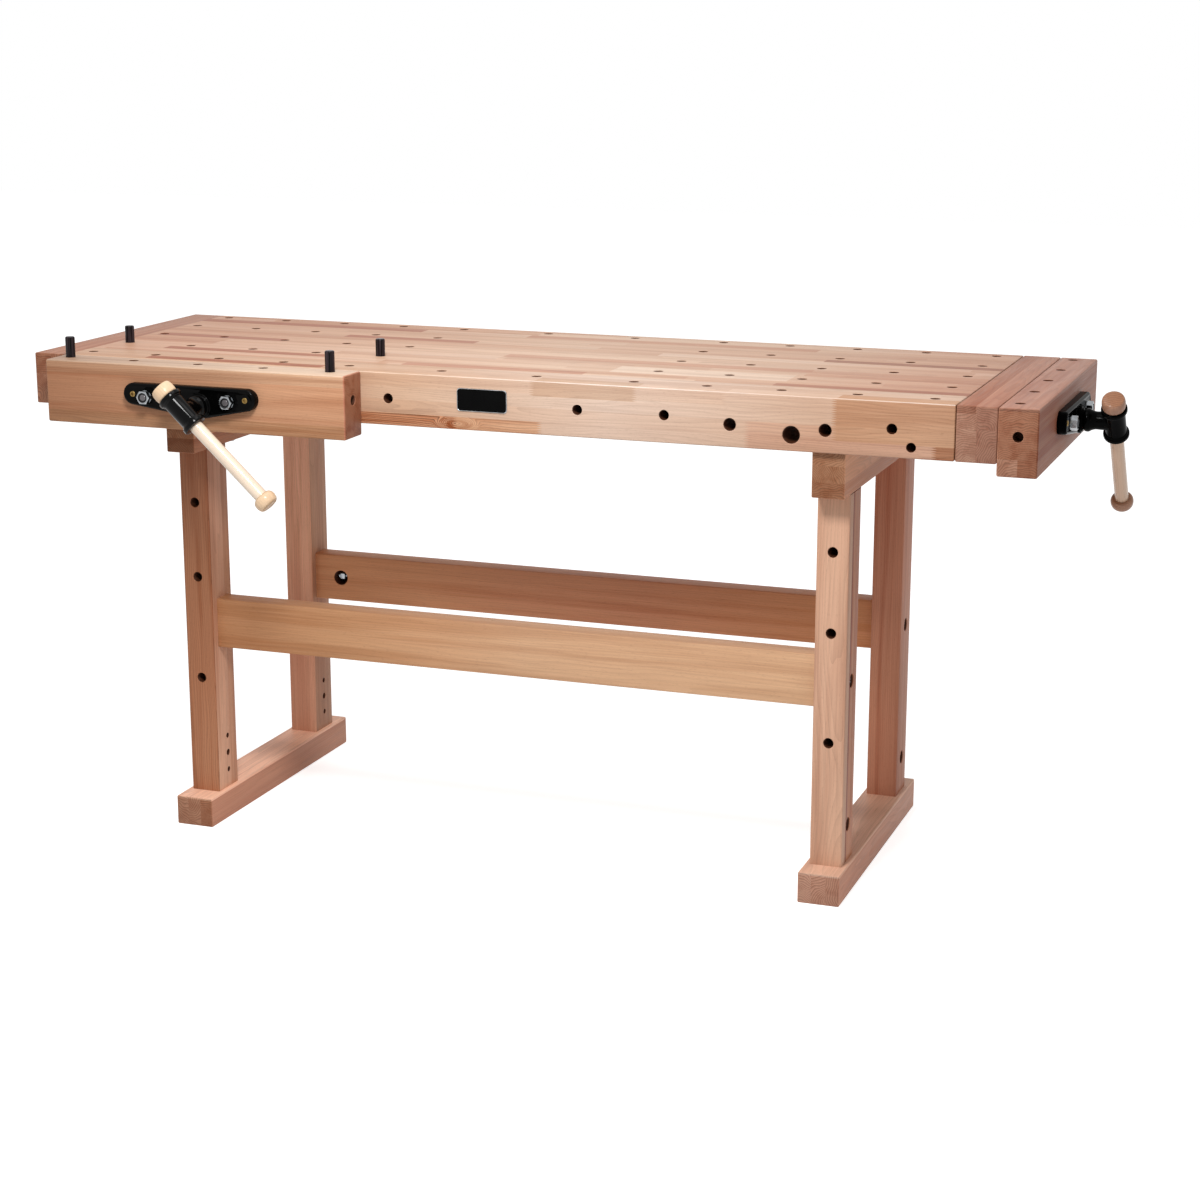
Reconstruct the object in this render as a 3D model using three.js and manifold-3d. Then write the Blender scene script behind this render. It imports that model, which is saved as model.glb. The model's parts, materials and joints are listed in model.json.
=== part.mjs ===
// Woodworking bench in laminated beech with a front vise, an end vise and round dogs.
// Millimetres, +Z up. In the bench group x runs from the left end, y from the front face, z from the floor.
import * as THREE from 'three';
import { mergeVertices } from 'three/addons/utils/BufferGeometryUtils.js';
import Module from 'manifold-3d';

// Bench top
const TOP_HEIGHT = 952;
const TOP_DEPTH = 640;
const CORE_LENGTH = 1772;
const CAP_WIDTH = 72;
const EDGE_HEIGHT = 100;
const BEAM_WIDTH = 100;
const PANEL_THICKNESS = 40;

// Fits between pieces
const GLUE_LINE = 0.3;
const FACET_CLEARANCE = 0.25;
const RUNNING_CLEARANCE = 0.4;
const BOLT_CLEARANCE = 0.8;

// Round dogs and their holes in the top
const DOG_HOLE_DIAMETER = 19;
const HOLE_PITCH = 140;
const HOLES_IN_GROUP = 5;
const FIRST_COLUMN_FROM_LEFT = 100;
const LAST_COLUMN_FROM_CORE_END = 49;
const MIDDLE_COLUMNS = 2;
const FIRST_ROW_FROM_FRONT = 55;
const LAST_ROW_FROM_BACK = 29;
const ROWS = 5;
const DOG_LENGTH = 100;
const DOG_CHAMFER = 2;
const JAW_DOG_STAND_HEIGHT = 40;
const TOP_DOG_STAND_HEIGHT = 34;
const DOG_COLUMNS = [0, 4];
const DOG_ROW_ON_TOP = 1;

// Holes in the front edge, places from the left end or from the right end of the core
const PEG_HOLE_DROP = 49;
const PEG_HOLE_DEPTH = 60;
const LEFT_PEG_FROM_LEFT = 765;
const PEGS_FROM_CORE_END = [700, 533, 113];
const SMALL_HOLE_DIAMETER = 17.4;
const SMALL_HOLE_FROM_CORE_END = 78;
const SMALL_HOLE_DROP = 80;
const SPARE_VISE_FROM_CORE_END = 295;

// Trestles
const LEFT_TRESTLE_FROM_LEFT = 310;
const RIGHT_TRESTLE_FROM_CAP = 301;
const FOOT_WIDTH = 80;
const FOOT_HEIGHT = 60;
const FOOT_INSET = 10;
const POST_WIDTH = 61;
const POST_DEPTH = 80;
const POST_INSET = 60;
const BEARER_HEIGHT = 84;
const BEARER_INSET = 14;
const TENON_WIDTH = 30;
const TENON_DEPTH = 50;
const TENON_LENGTH = 40;
const POST_HOLE_DIAMETER = 19.5;
const POST_HOLE_DEPTH = 50;
const POST_HOLE_HEIGHTS = [299, 508, 660];

// Stretchers with their bolts and dowels
const STRETCHER_HEIGHT = 100;
const STRETCHER_THICKNESS = 48;
const STRETCHER_MID_HEIGHT = 411;
const STRETCHER_SET_BACK = 3;
const SPARE_MID_HEIGHT = 132;
const BOLT_DIAMETER = 12;
const BOLT_HEAD_ACROSS = 19;
const BOLT_HEAD_HEIGHT = 8;
const COUNTERBORE_DIAMETER = 26;
const COUNTERBORE_DEPTH = 12;
const ACCESS_DIAMETER = 32;
const ACCESS_FROM_END = 60;
const ACCESS_DEPTH = 38;
const WASHER_DIAMETER = 24;
const WASHER_THICKNESS = 3;
const NUT_HEIGHT = 10;
const BOLT_TIP_LENGTH = 3;
const DOWEL_DIAMETER = 10;
const DOWEL_LENGTH = 25;
const DOWEL_FROM_BOLT = 36;

// Tongues of the end caps in the beams
const TONGUE_LENGTH = 15;
const TONGUE_WIDTH = 60;
const TONGUE_HEIGHT = 24;
const TONGUE_DROP = 60;

// Bare name plate on the front edge
const BADGE_LENGTH = 100;
const BADGE_HEIGHT = 43;
const BADGE_THICKNESS = 2;
const BADGE_CORNER_RADIUS = 6;
const BADGE_FROM_LEFT = 906;
const BADGE_DROP = 21;

// Vise jaws
const JAW_HEIGHT = 121.5;
const JAW_THICKNESS = 71.5;
const JAW_GAP = 0.5;
const JAW_BEFORE_FIRST_HOLE = 30;
const JAW_PAST_LAST_HOLE = 50;
const JAW_HOLE_FROM_INNER_FACE = 28;
const END_JAW_HOLE_DEPTH = 50;
const JAW_END_HOLE_DEPTH = 35;
const JAW_END_HOLE_DROP = 50;

// Vise irons, in the vise's own frame: u to the right, v up from the rods, w out of the jaw
const ROD_DROP = 58.7;
const ROD_DIAMETER = 22;
const ROD_BORE_DIAMETER = 23.4;
const ROD_LEFT_OF_SCREW = 114;
const ROD_RIGHT_OF_SCREW = 62;
const ROD_STUD_DIAMETER = 16;
const ROD_NUT_ACROSS = 24;
const ROD_NUT_HEIGHT = 13;
const ROD_STUD_PROUD = 2;
const SCREW_SIDE_OFFSET = 23;
const SCREW_DROP_BELOW_RODS = 11.8;
const SCREW_DIAMETER = 28;
const SCREW_BORE_DIAMETER = 32;
const JOURNAL_DIAMETER = 26;
const TENON_OF_SCREW_DIAMETER = 20;
const TENON_OF_SCREW_LENGTH = 30;
const SCREW_TAIL_CHAMFER = 2;
const RETAINER_DIAMETER = 44;
const RETAINER_LENGTH = 10;
const RECESS_CLEARANCE = 2;
const PLATE_THICKNESS = 17;
const PLATE_TIP_RADIUS = 21;
const PLATE_TIP_SPREAD = 120;
const PLATE_TIP_RISE = 4;
const PLATE_HUB_RADIUS = 25;
const PLATE_EDGE_RADIUS = 3;
const HUB_HEIGHT = 8;
const PLATE_SCREW_DIAMETER = 6;
const PLATE_SCREW_HEAD_DIAMETER = 11;
const PLATE_SCREW_HEAD_HEIGHT = 4;
const PLATE_SCREW_LENGTH = 40;
const BRACKET_THICKNESS = 24;
const BRACKET_TIP_RADIUS = 17;
const BRACKET_TIP_SPREAD = 118;
const NUT_BOSS_LENGTH = 45;
const NUT_BOSS_RADIUS = 24;
const BOSS_STEP_HEIGHT = 0.5;
const JAW_TRAVEL_LENGTH = 180;
const STOP_CLEARANCE = 3;
const TAIL_LENGTH_IN_NUT = 5;
const YOKE_HEIGHT = 24;
const YOKE_THICKNESS = 12;
const YOKE_END_LENGTH = 20;

// Vise head with its wooden bar
const HEAD_REACH = 80.6;
const NECK_DIAMETER = 34;
const COLLAR_DIAMETER = 44;
const COLLAR_LENGTH = 12;
const BARREL_DIAMETER = 37;
const BARREL_LENGTH = 76;
const FLANGE_DIAMETER = 48;
const FLANGE_LENGTH = 10;
const BAR_DIAMETER = 26;
const BAR_BETWEEN_KNOBS = 258;
const KNOB_DIAMETER = 44;
const KNOB_LENGTH = 25;
const KNOB_EDGE_CHAMFER = 4;
const KNOB_SOCKET_DEPTH = 15;
const FRONT_BAR_LEAN = THREE.MathUtils.degToRad(46.8);
const END_BAR_LEAN = THREE.MathUtils.degToRad(40);

// Facets of round shapes
const HOLE_SIDES = 10;
const ROUND_SIDES = 16;
const SMALL_SIDES = 8;
const HEX_SIDES = 6;
const ARC_STEPS = 4;
const EDGE_STEPS = 1;
const WELD_DISTANCE = 1e-4;

// Finishes: colour, roughness, metalness
const FINISHES = {
  beech: ['#c79b77', 0.55, 0],
  beechDark: ['#a8775a', 0.6, 0],
  beechPale: ['#dcc3a0', 0.5, 0],
  castIron: ['#161616', 0.35, 0.2],
  zinc: ['#b9bcbe', 0.35, 1],
  steel: ['#8d9093', 0.4, 1],
  brass: ['#b08d4a', 0.4, 1],
  blackSteel: ['#1b1b1c', 0.45, 0.6],
  plate: ['#1c1c1e', 0.4, 0.3],
};

const wasm = await Module();
wasm.setup();

const bench = new THREE.Group();

// Derived places shared by several pieces
const coreStart = CAP_WIDTH;
const coreEnd = coreStart + CORE_LENGTH;
const capEnd = coreEnd + CAP_WIDTH;
const undersideOfEdge = TOP_HEIGHT - EDGE_HEIGHT;
const rodHeight = TOP_HEIGHT - ROD_DROP;
const screwHeight = rodHeight - SCREW_DROP_BELOW_RODS;
const trestleCentres = { left: LEFT_TRESTLE_FROM_LEFT, right: capEnd - RIGHT_TRESTLE_FROM_CAP };
const postCentres = { front: POST_INSET + POST_DEPTH / 2, back: TOP_DEPTH - POST_INSET - POST_DEPTH / 2 };
const rodSides = [SCREW_SIDE_OFFSET - ROD_LEFT_OF_SCREW, SCREW_SIDE_OFFSET + ROD_RIGHT_OF_SCREW];
const frontJawStart = FIRST_COLUMN_FROM_LEFT - JAW_BEFORE_FIRST_HOLE;
const lastJawColumn = FIRST_COLUMN_FROM_LEFT + (HOLES_IN_GROUP - 1) * HOLE_PITCH;
const frontJawEnd = lastJawColumn + JAW_PAST_LAST_HOLE;
const frontJawMiddle = (frontJawStart + frontJawEnd) / 2;
const jawOuterFace = JAW_GAP + JAW_THICKNESS;
const plateSpread = [-PLATE_TIP_SPREAD, PLATE_TIP_SPREAD];
const bracketSpread = [-BRACKET_TIP_SPREAD, BRACKET_TIP_SPREAD];

function dogColumns() {
  const leftGroup = Array.from({ length: HOLES_IN_GROUP }, (_, i) => FIRST_COLUMN_FROM_LEFT + i * HOLE_PITCH);
  const last = coreEnd - LAST_COLUMN_FROM_CORE_END;
  const rightGroup = Array.from({ length: HOLES_IN_GROUP }, (_, i) => last - i * HOLE_PITCH).reverse();
  const step = (rightGroup[0] - leftGroup.at(-1)) / (MIDDLE_COLUMNS + 1);
  const middle = Array.from({ length: MIDDLE_COLUMNS }, (_, i) => leftGroup.at(-1) + (i + 1) * step);
  return [...leftGroup, ...middle, ...rightGroup];
}
const columns = dogColumns();
const panelColumns = [...columns.slice(0, HOLES_IN_GROUP), ...columns.slice(-HOLES_IN_GROUP)];
const rowPitch = (TOP_DEPTH - FIRST_ROW_FROM_FRONT - LAST_ROW_FROM_BACK) / (ROWS - 1);
const rows = Array.from({ length: ROWS }, (_, i) => FIRST_ROW_FROM_FRONT + i * rowPitch);

// Block between two corners
function block(x0, x1, y0, y1, z0, z1) {
  const geometry = new THREE.BoxGeometry(x1 - x0, y1 - y0, z1 - z0);
  return geometry.translate((x0 + x1) / 2, (y0 + y1) / 2, (z0 + z1) / 2);
}

// Round bar along an axis, from one coordinate to the other, with its centre line at the two other ones
function round(axis, diameter, from, to, centre, sides = HOLE_SIDES) {
  const geometry = new THREE.CylinderGeometry(diameter / 2, diameter / 2, to - from, sides);
  const middle = (from + to) / 2;
  if (axis === 'x') return geometry.rotateZ(-Math.PI / 2).translate(middle, centre[0], centre[1]);
  if (axis === 'y') return geometry.translate(centre[0], middle, centre[1]);
  return geometry.rotateX(Math.PI / 2).translate(centre[0], centre[1], middle);
}

// Hexagonal nut or bolt head along an axis, its size given across the flats
function hexagon(axis, acrossFlats, from, to, centre) {
  return round(axis, acrossFlats / Math.cos(Math.PI / HEX_SIDES), from, to, centre, HEX_SIDES);
}

// Solid of revolution about z from points of radius and height that start and end on the axis
function turned(profile, sides = ROUND_SIDES) {
  const points = profile.map(([radius, height]) => new THREE.Vector2(radius, height));
  return new THREE.LatheGeometry(points, sides).rotateX(Math.PI / 2);
}

function solid(geometry) {
  const bare = geometry.clone();
  bare.deleteAttribute('normal');
  bare.deleteAttribute('uv');
  const merged = mergeVertices(bare, WELD_DISTANCE);
  const vertProperties = new Float32Array(merged.attributes.position.array);
  const triVerts = new Uint32Array(merged.index.array);
  return new wasm.Manifold(new wasm.Mesh({ numProp: 3, vertProperties, triVerts }));
}

function geometryOf(body) {
  const mesh = body.getMesh();
  const geometry = new THREE.BufferGeometry();
  geometry.setAttribute('position', new THREE.BufferAttribute(mesh.vertProperties, 3));
  geometry.setIndex(new THREE.BufferAttribute(mesh.triVerts, 1));
  geometry.computeVertexNormals();
  return geometry;
}

function joined(...geometries) {
  return geometryOf(geometries.map(solid).reduce((sum, body) => sum.add(body)));
}

function cut(geometry, tools) {
  return geometryOf(tools.map(solid).reduce((rest, tool) => rest.subtract(tool), solid(geometry)));
}

function place(parent, name, geometry, finish) {
  const [color, roughness, metalness] = FINISHES[finish];
  const mesh = new THREE.Mesh(geometry, new THREE.MeshStandardMaterial({ color, roughness, metalness }));
  mesh.name = name;
  parent.add(mesh);
  return mesh;
}

// Closed outline around circles listed anticlockwise, drawn as their arcs and outer tangents
function outlineAround(circles) {
  const normals = circles.map((circle, i) => {
    const next = circles[(i + 1) % circles.length];
    const across = Math.atan2(next.v - circle.v, next.u - circle.u);
    const apart = Math.hypot(next.u - circle.u, next.v - circle.v);
    return across - Math.acos((circle.radius - next.radius) / apart);
  });
  const shape = new THREE.Shape();
  circles.forEach((circle, i) => {
    const start = normals.at(i - 1);
    shape.absarc(circle.u, circle.v, circle.radius, start, normals[i], false);
  });
  return shape;
}

// Vertical holes for dogs through one strip of the top
function dogHoles(row, bottom, places = columns) {
  const from = bottom - GLUE_LINE;
  const to = TOP_HEIGHT + GLUE_LINE;
  return places.map((column) => round('z', DOG_HOLE_DIAMETER, from, to, [column, row]));
}

// Bores of one vise through what carries it, at places along the axis given
function viseBores(axis, from, to, middle) {
  const rods = rodSides.map((side) => round(axis, ROD_BORE_DIAMETER, from, to, [middle + side, rodHeight]));
  const screw = round(axis, SCREW_BORE_DIAMETER, from, to, [middle + SCREW_SIDE_OFFSET, screwHeight]);
  return [...rods, screw];
}

// Tongue of an end cap in a beam's end, or with a clearance its groove
function tongue(side, y, clearance) {
  const inward = side === 'left' ? 1 : -1;
  const face = side === 'left' ? coreStart : coreEnd;
  const tip = face + inward * (TONGUE_LENGTH + clearance);
  const root = face - inward * GLUE_LINE;
  const halfWidth = TONGUE_WIDTH / 2 + clearance;
  const halfHeight = TONGUE_HEIGHT / 2 + clearance;
  const z = TOP_HEIGHT - TONGUE_DROP;
  const [low, high] = [Math.min(root, tip), Math.max(root, tip)];
  return block(low, high, y - halfWidth, y + halfWidth, z - halfHeight, z + halfHeight);
}

function addTop() {
  const backBeamStart = TOP_DEPTH - BEAM_WIDTH;
  const panelBottom = TOP_HEIGHT - PANEL_THICKNESS;
  const beamMiddles = { front: BEAM_WIDTH / 2, back: TOP_DEPTH - BEAM_WIDTH / 2 };
  const start = coreStart + GLUE_LINE;
  const end = coreEnd - GLUE_LINE;
  const grooves = (row) => ['left', 'right'].map((side) => tongue(side, beamMiddles[row], GLUE_LINE));
  const tongues = (side) => Object.values(beamMiddles).map((y) => tongue(side, y, 0));

  const panel = block(start, end, BEAM_WIDTH + GLUE_LINE, backBeamStart - GLUE_LINE, panelBottom, TOP_HEIGHT);
  const panelHoles = rows.slice(1, -1).flatMap((row) => dogHoles(row, panelBottom, panelColumns));
  place(bench, 'top_panel', cut(panel, panelHoles), 'beech');

  const pegPlaces = [LEFT_PEG_FROM_LEFT, ...PEGS_FROM_CORE_END.map((fromEnd) => coreEnd - fromEnd)];
  const pegHeight = TOP_HEIGHT - PEG_HOLE_DROP;
  const peg = (x) => round('y', DOG_HOLE_DIAMETER, -GLUE_LINE, PEG_HOLE_DEPTH, [x, pegHeight]);
  const pegs = pegPlaces.map(peg);
  const smallPlace = [coreEnd - SMALL_HOLE_FROM_CORE_END, TOP_HEIGHT - SMALL_HOLE_DROP];
  const small = round('y', SMALL_HOLE_DIAMETER, -GLUE_LINE, PEG_HOLE_DEPTH, smallPlace);
  const through = [-GLUE_LINE, BEAM_WIDTH + GLUE_LINE];
  const frontVise = viseBores('y', ...through, frontJawMiddle);
  const spareVise = viseBores('y', ...through, coreEnd - SPARE_VISE_FROM_CORE_END - SCREW_SIDE_OFFSET);
  const frontBeam = block(start, end, 0, BEAM_WIDTH, undersideOfEdge, TOP_HEIGHT);
  const frontHoles = [...dogHoles(rows[0], undersideOfEdge), ...pegs, small, ...frontVise, ...spareVise];
  place(bench, 'front_beam', cut(frontBeam, [...frontHoles, ...grooves('front')]), 'beech');
  const backBeam = block(start, end, backBeamStart, TOP_DEPTH, undersideOfEdge, TOP_HEIGHT);
  const backHoles = dogHoles(rows.at(-1), undersideOfEdge);
  place(bench, 'back_beam', cut(backBeam, [...backHoles, ...grooves('back')]), 'beech');

  const leftCap = block(0, coreStart, 0, TOP_DEPTH, undersideOfEdge, TOP_HEIGHT);
  place(bench, 'left_end_cap', joined(leftCap, ...tongues('left')), 'beech');
  const rightCap = block(coreEnd, capEnd, 0, TOP_DEPTH, undersideOfEdge, TOP_HEIGHT);
  const endVise = viseBores('x', coreEnd - GLUE_LINE, capEnd + GLUE_LINE, TOP_DEPTH / 2);
  place(bench, 'right_end_cap', cut(joined(rightCap, ...tongues('right')), endVise), 'beech');
}

// One bolted joint of a post and a stretcher's end: inward is the way from the post to the stretcher
function stretcherJoint(side, y, height) {
  const inward = side === 'left' ? 1 : -1;
  const outerFace = trestleCentres[side] - (inward * POST_WIDTH) / 2;
  const innerFace = outerFace + inward * POST_WIDTH;
  const at = (distance) => innerFace + inward * distance;
  const span = (a, b) => [Math.min(a, b), Math.max(a, b)];
  const bar = (diameter, a, b, z, sides) => round('x', diameter, ...span(a, b), [y, z], sides);
  const hex = (a, b) => hexagon('x', BOLT_HEAD_ACROSS, ...span(a, b), [y, height]);

  const accessRadius = (ACCESS_DIAMETER / 2) * Math.cos(Math.PI / ROUND_SIDES) - GLUE_LINE;
  const seatFromAccess = Math.sqrt(accessRadius ** 2 - (WASHER_DIAMETER / 2) ** 2);
  const washerFrom = ACCESS_FROM_END - seatFromAccess;
  const nutFrom = washerFrom + WASHER_THICKNESS;
  const nutTo = nutFrom + NUT_HEIGHT;
  const headSeat = outerFace + inward * COUNTERBORE_DEPTH;
  const headTop = headSeat - inward * BOLT_HEAD_HEIGHT;
  const outside = outerFace - inward * GLUE_LINE;
  const bore = BOLT_DIAMETER + BOLT_CLEARANCE;
  const dowelHeights = [height - DOWEL_FROM_BOLT, height + DOWEL_FROM_BOLT];
  const dowelBore = DOWEL_DIAMETER + 2 * FACET_CLEARANCE;
  const washer = bar(WASHER_DIAMETER, at(washerFrom), at(nutFrom), height, ROUND_SIDES);
  const nutBore = bar(bore, at(0), at(nutTo + BOLT_TIP_LENGTH), height);
  return {
    postCuts: [
      bar(bore, outside, at(GLUE_LINE), height),
      bar(COUNTERBORE_DIAMETER, outside, headSeat + inward * GLUE_LINE, height),
      ...dowelHeights.map((z) => bar(dowelBore, at(-DOWEL_LENGTH - GLUE_LINE), at(GLUE_LINE), z)),
    ],
    dowels: dowelHeights.map((z) => bar(DOWEL_DIAMETER, at(-DOWEL_LENGTH), at(DOWEL_LENGTH), z)),
    stretcherBore: bar(bore, at(-GLUE_LINE), at(ACCESS_FROM_END), height),
    accessPlace: at(ACCESS_FROM_END),
    bolt: joined(bar(BOLT_DIAMETER, headTop, at(nutTo + BOLT_TIP_LENGTH), height), hex(headTop, headSeat)),
    nut: cut(joined(washer, hex(at(nutFrom), at(nutTo))), [nutBore]),
  };
}

// Tenon of a post, or with a clearance its mortise
function tenon(x, y, from, to, clearance) {
  const halfWidth = TENON_WIDTH / 2 + clearance;
  const halfDepth = TENON_DEPTH / 2 + clearance;
  return block(x - halfWidth, x + halfWidth, y - halfDepth, y + halfDepth, from, to);
}

function addTrestle(side, x) {
  const bearerTop = undersideOfEdge - GLUE_LINE;
  const bearerBottom = bearerTop - BEARER_HEIGHT;
  const postBottom = FOOT_HEIGHT + GLUE_LINE;
  const postTop = bearerBottom - GLUE_LINE;
  const halfPost = POST_WIDTH / 2;
  const footMortises = [];
  const bearerMortises = [];
  const joints = {};
  for (const [row, y] of Object.entries(postCentres)) {
    const front = y - POST_DEPTH / 2;
    const post = joined(
      block(x - halfPost, x + halfPost, front, front + POST_DEPTH, postBottom, postTop),
      tenon(x, y, postBottom - TENON_LENGTH, postTop + TENON_LENGTH, 0),
    );
    const bolted = stretcherJoint(side, y + STRETCHER_SET_BACK, STRETCHER_MID_HEIGHT);
    const spare = stretcherJoint(side, y + STRETCHER_SET_BACK, SPARE_MID_HEIGHT);
    const hole = (z) => round('y', POST_HOLE_DIAMETER, front - GLUE_LINE, front + POST_HOLE_DEPTH, [x, z]);
    const pegHoles = row === 'front' ? POST_HOLE_HEIGHTS.map(hole) : [];
    const postCuts = [...bolted.postCuts, ...spare.postCuts, ...pegHoles];
    place(bench, `${side}_${row}_post`, cut(post, postCuts), 'beechDark');
    place(bench, `${side}_${row}_bolt`, bolted.bolt, 'zinc');
    place(bench, `${side}_${row}_nut`, bolted.nut, 'zinc');
    footMortises.push(tenon(x, y, postBottom - TENON_LENGTH - GLUE_LINE, postBottom, GLUE_LINE));
    bearerMortises.push(tenon(x, y, postTop, postTop + TENON_LENGTH + GLUE_LINE, GLUE_LINE));
    joints[row] = bolted;
  }
  const halfFoot = FOOT_WIDTH / 2;
  const foot = block(x - halfFoot, x + halfFoot, FOOT_INSET, TOP_DEPTH - FOOT_INSET, 0, FOOT_HEIGHT);
  place(bench, `${side}_foot`, cut(foot, footMortises), 'beechDark');
  const bearerBack = TOP_DEPTH - BEARER_INSET;
  const bearer = block(x - halfPost, x + halfPost, BEARER_INSET, bearerBack, bearerBottom, bearerTop);
  place(bench, `${side}_bearer`, cut(bearer, bearerMortises), 'beechDark');
  return joints;
}

function addBase() {
  const joints = {};
  for (const [side, x] of Object.entries(trestleCentres)) joints[side] = addTrestle(side, x);
  const start = trestleCentres.left + POST_WIDTH / 2 + GLUE_LINE;
  const end = trestleCentres.right - POST_WIDTH / 2 - GLUE_LINE;
  const low = STRETCHER_MID_HEIGHT - STRETCHER_HEIGHT / 2;
  for (const [row, y] of Object.entries(postCentres)) {
    const front = y + STRETCHER_SET_BACK - STRETCHER_THICKNESS / 2;
    const back = front + STRETCHER_THICKNESS;
    const ends = [joints.left[row], joints.right[row]];
    const rail = block(start, end, front, back, low, low + STRETCHER_HEIGHT);
    const doweled = joined(rail, ...ends.flatMap((e) => e.dowels));
    const fromInside = {
      front: [back - ACCESS_DEPTH, back + GLUE_LINE],
      back: [front - GLUE_LINE, front + ACCESS_DEPTH],
    };
    const access = ends.map((e) =>
      round('y', ACCESS_DIAMETER, ...fromInside[row], [e.accessPlace, STRETCHER_MID_HEIGHT], ROUND_SIDES));
    place(bench, `${row}_stretcher`, cut(doweled, [...ends.map((e) => e.stretcherBore), ...access]), 'beech');
  }
}

function addBadge() {
  const inset = { u: BADGE_LENGTH / 2 - BADGE_CORNER_RADIUS, v: BADGE_HEIGHT / 2 - BADGE_CORNER_RADIUS };
  const corners = [[-1, -1], [1, -1], [1, 1], [-1, 1]];
  const cornerCircle = ([u, v]) => ({ u: u * inset.u, v: v * inset.v, radius: BADGE_CORNER_RADIUS });
  const shape = outlineAround(corners.map(cornerCircle));
  const options = { depth: BADGE_THICKNESS, bevelEnabled: false, curveSegments: ARC_STEPS };
  const mesh = place(bench, 'badge', new THREE.ExtrudeGeometry(shape, options), 'plate');
  mesh.rotation.x = Math.PI / 2;
  const badgeHeight = TOP_HEIGHT - BADGE_DROP - BADGE_HEIGHT / 2;
  mesh.position.set(BADGE_FROM_LEFT + BADGE_LENGTH / 2, -GLUE_LINE, badgeHeight);
}

function addJaws() {
  const low = TOP_HEIGHT - JAW_HEIGHT;
  const above = TOP_HEIGHT + GLUE_LINE;
  const endHoleHeight = TOP_HEIGHT - JAW_END_HOLE_DROP;
  const screwBore = PLATE_SCREW_DIAMETER + BOLT_CLEARANCE;
  const screwRow = rodHeight + PLATE_TIP_RISE;
  const recess = RETAINER_LENGTH + RECESS_CLEARANCE;
  const recessDiameter = RETAINER_DIAMETER + RECESS_CLEARANCE;

  const frontFace = -jawOuterFace - GLUE_LINE;
  const frontScrew = [frontJawMiddle + SCREW_SIDE_OFFSET, screwHeight];
  const frontRow = -JAW_GAP - JAW_HOLE_FROM_INNER_FACE;
  const frontDogHole = (x) => round('z', DOG_HOLE_DIAMETER, low - GLUE_LINE, above, [x, frontRow]);
  const screwTip = -jawOuterFace + PLATE_SCREW_LENGTH;
  const frontScrewHole = (side) =>
    round('y', screwBore, frontFace, screwTip, [frontJawMiddle + side, screwRow], SMALL_SIDES);
  const front = block(frontJawStart, frontJawEnd, -jawOuterFace, -JAW_GAP, low, TOP_HEIGHT);
  place(bench, 'front_jaw', cut(front, [
    ...columns.slice(0, HOLES_IN_GROUP).map(frontDogHole),
    ...viseBores('y', frontFace, 0, frontJawMiddle),
    round('y', recessDiameter, frontFace, -jawOuterFace + recess, frontScrew, ROUND_SIDES),
    round('x', DOG_HOLE_DIAMETER, frontJawEnd - JAW_END_HOLE_DEPTH, frontJawEnd + GLUE_LINE,
      [-JAW_GAP - JAW_THICKNESS / 2, endHoleHeight]),
    ...plateSpread.map(frontScrewHole),
  ]), 'beech');

  const inner = capEnd + JAW_GAP;
  const outer = capEnd + jawOuterFace;
  const middle = TOP_DEPTH / 2;
  const endScrew = [middle + SCREW_SIDE_OFFSET, screwHeight];
  const endRow = inner + JAW_HOLE_FROM_INNER_FACE;
  const endHoleBottom = TOP_HEIGHT - END_JAW_HOLE_DEPTH;
  const endDogHole = (y) => round('z', DOG_HOLE_DIAMETER, endHoleBottom, above, [endRow, y]);
  const endScrewSpan = [outer - PLATE_SCREW_LENGTH, outer + GLUE_LINE];
  const endScrewHole = (side) =>
    round('x', screwBore, ...endScrewSpan, [middle + side, screwRow], SMALL_SIDES);
  const end = block(inner, outer, 0, TOP_DEPTH, low, TOP_HEIGHT);
  place(bench, 'end_jaw', cut(end, [
    ...rows.map(endDogHole),
    ...viseBores('x', capEnd, outer + GLUE_LINE, middle),
    round('x', recessDiameter, outer - recess, outer + GLUE_LINE, endScrew, ROUND_SIDES),
    round('y', DOG_HOLE_DIAMETER, -GLUE_LINE, JAW_END_HOLE_DEPTH, [inner + JAW_THICKNESS / 2, endHoleHeight]),
    ...plateSpread.map(endScrewHole),
  ]), 'beech');
}

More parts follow.
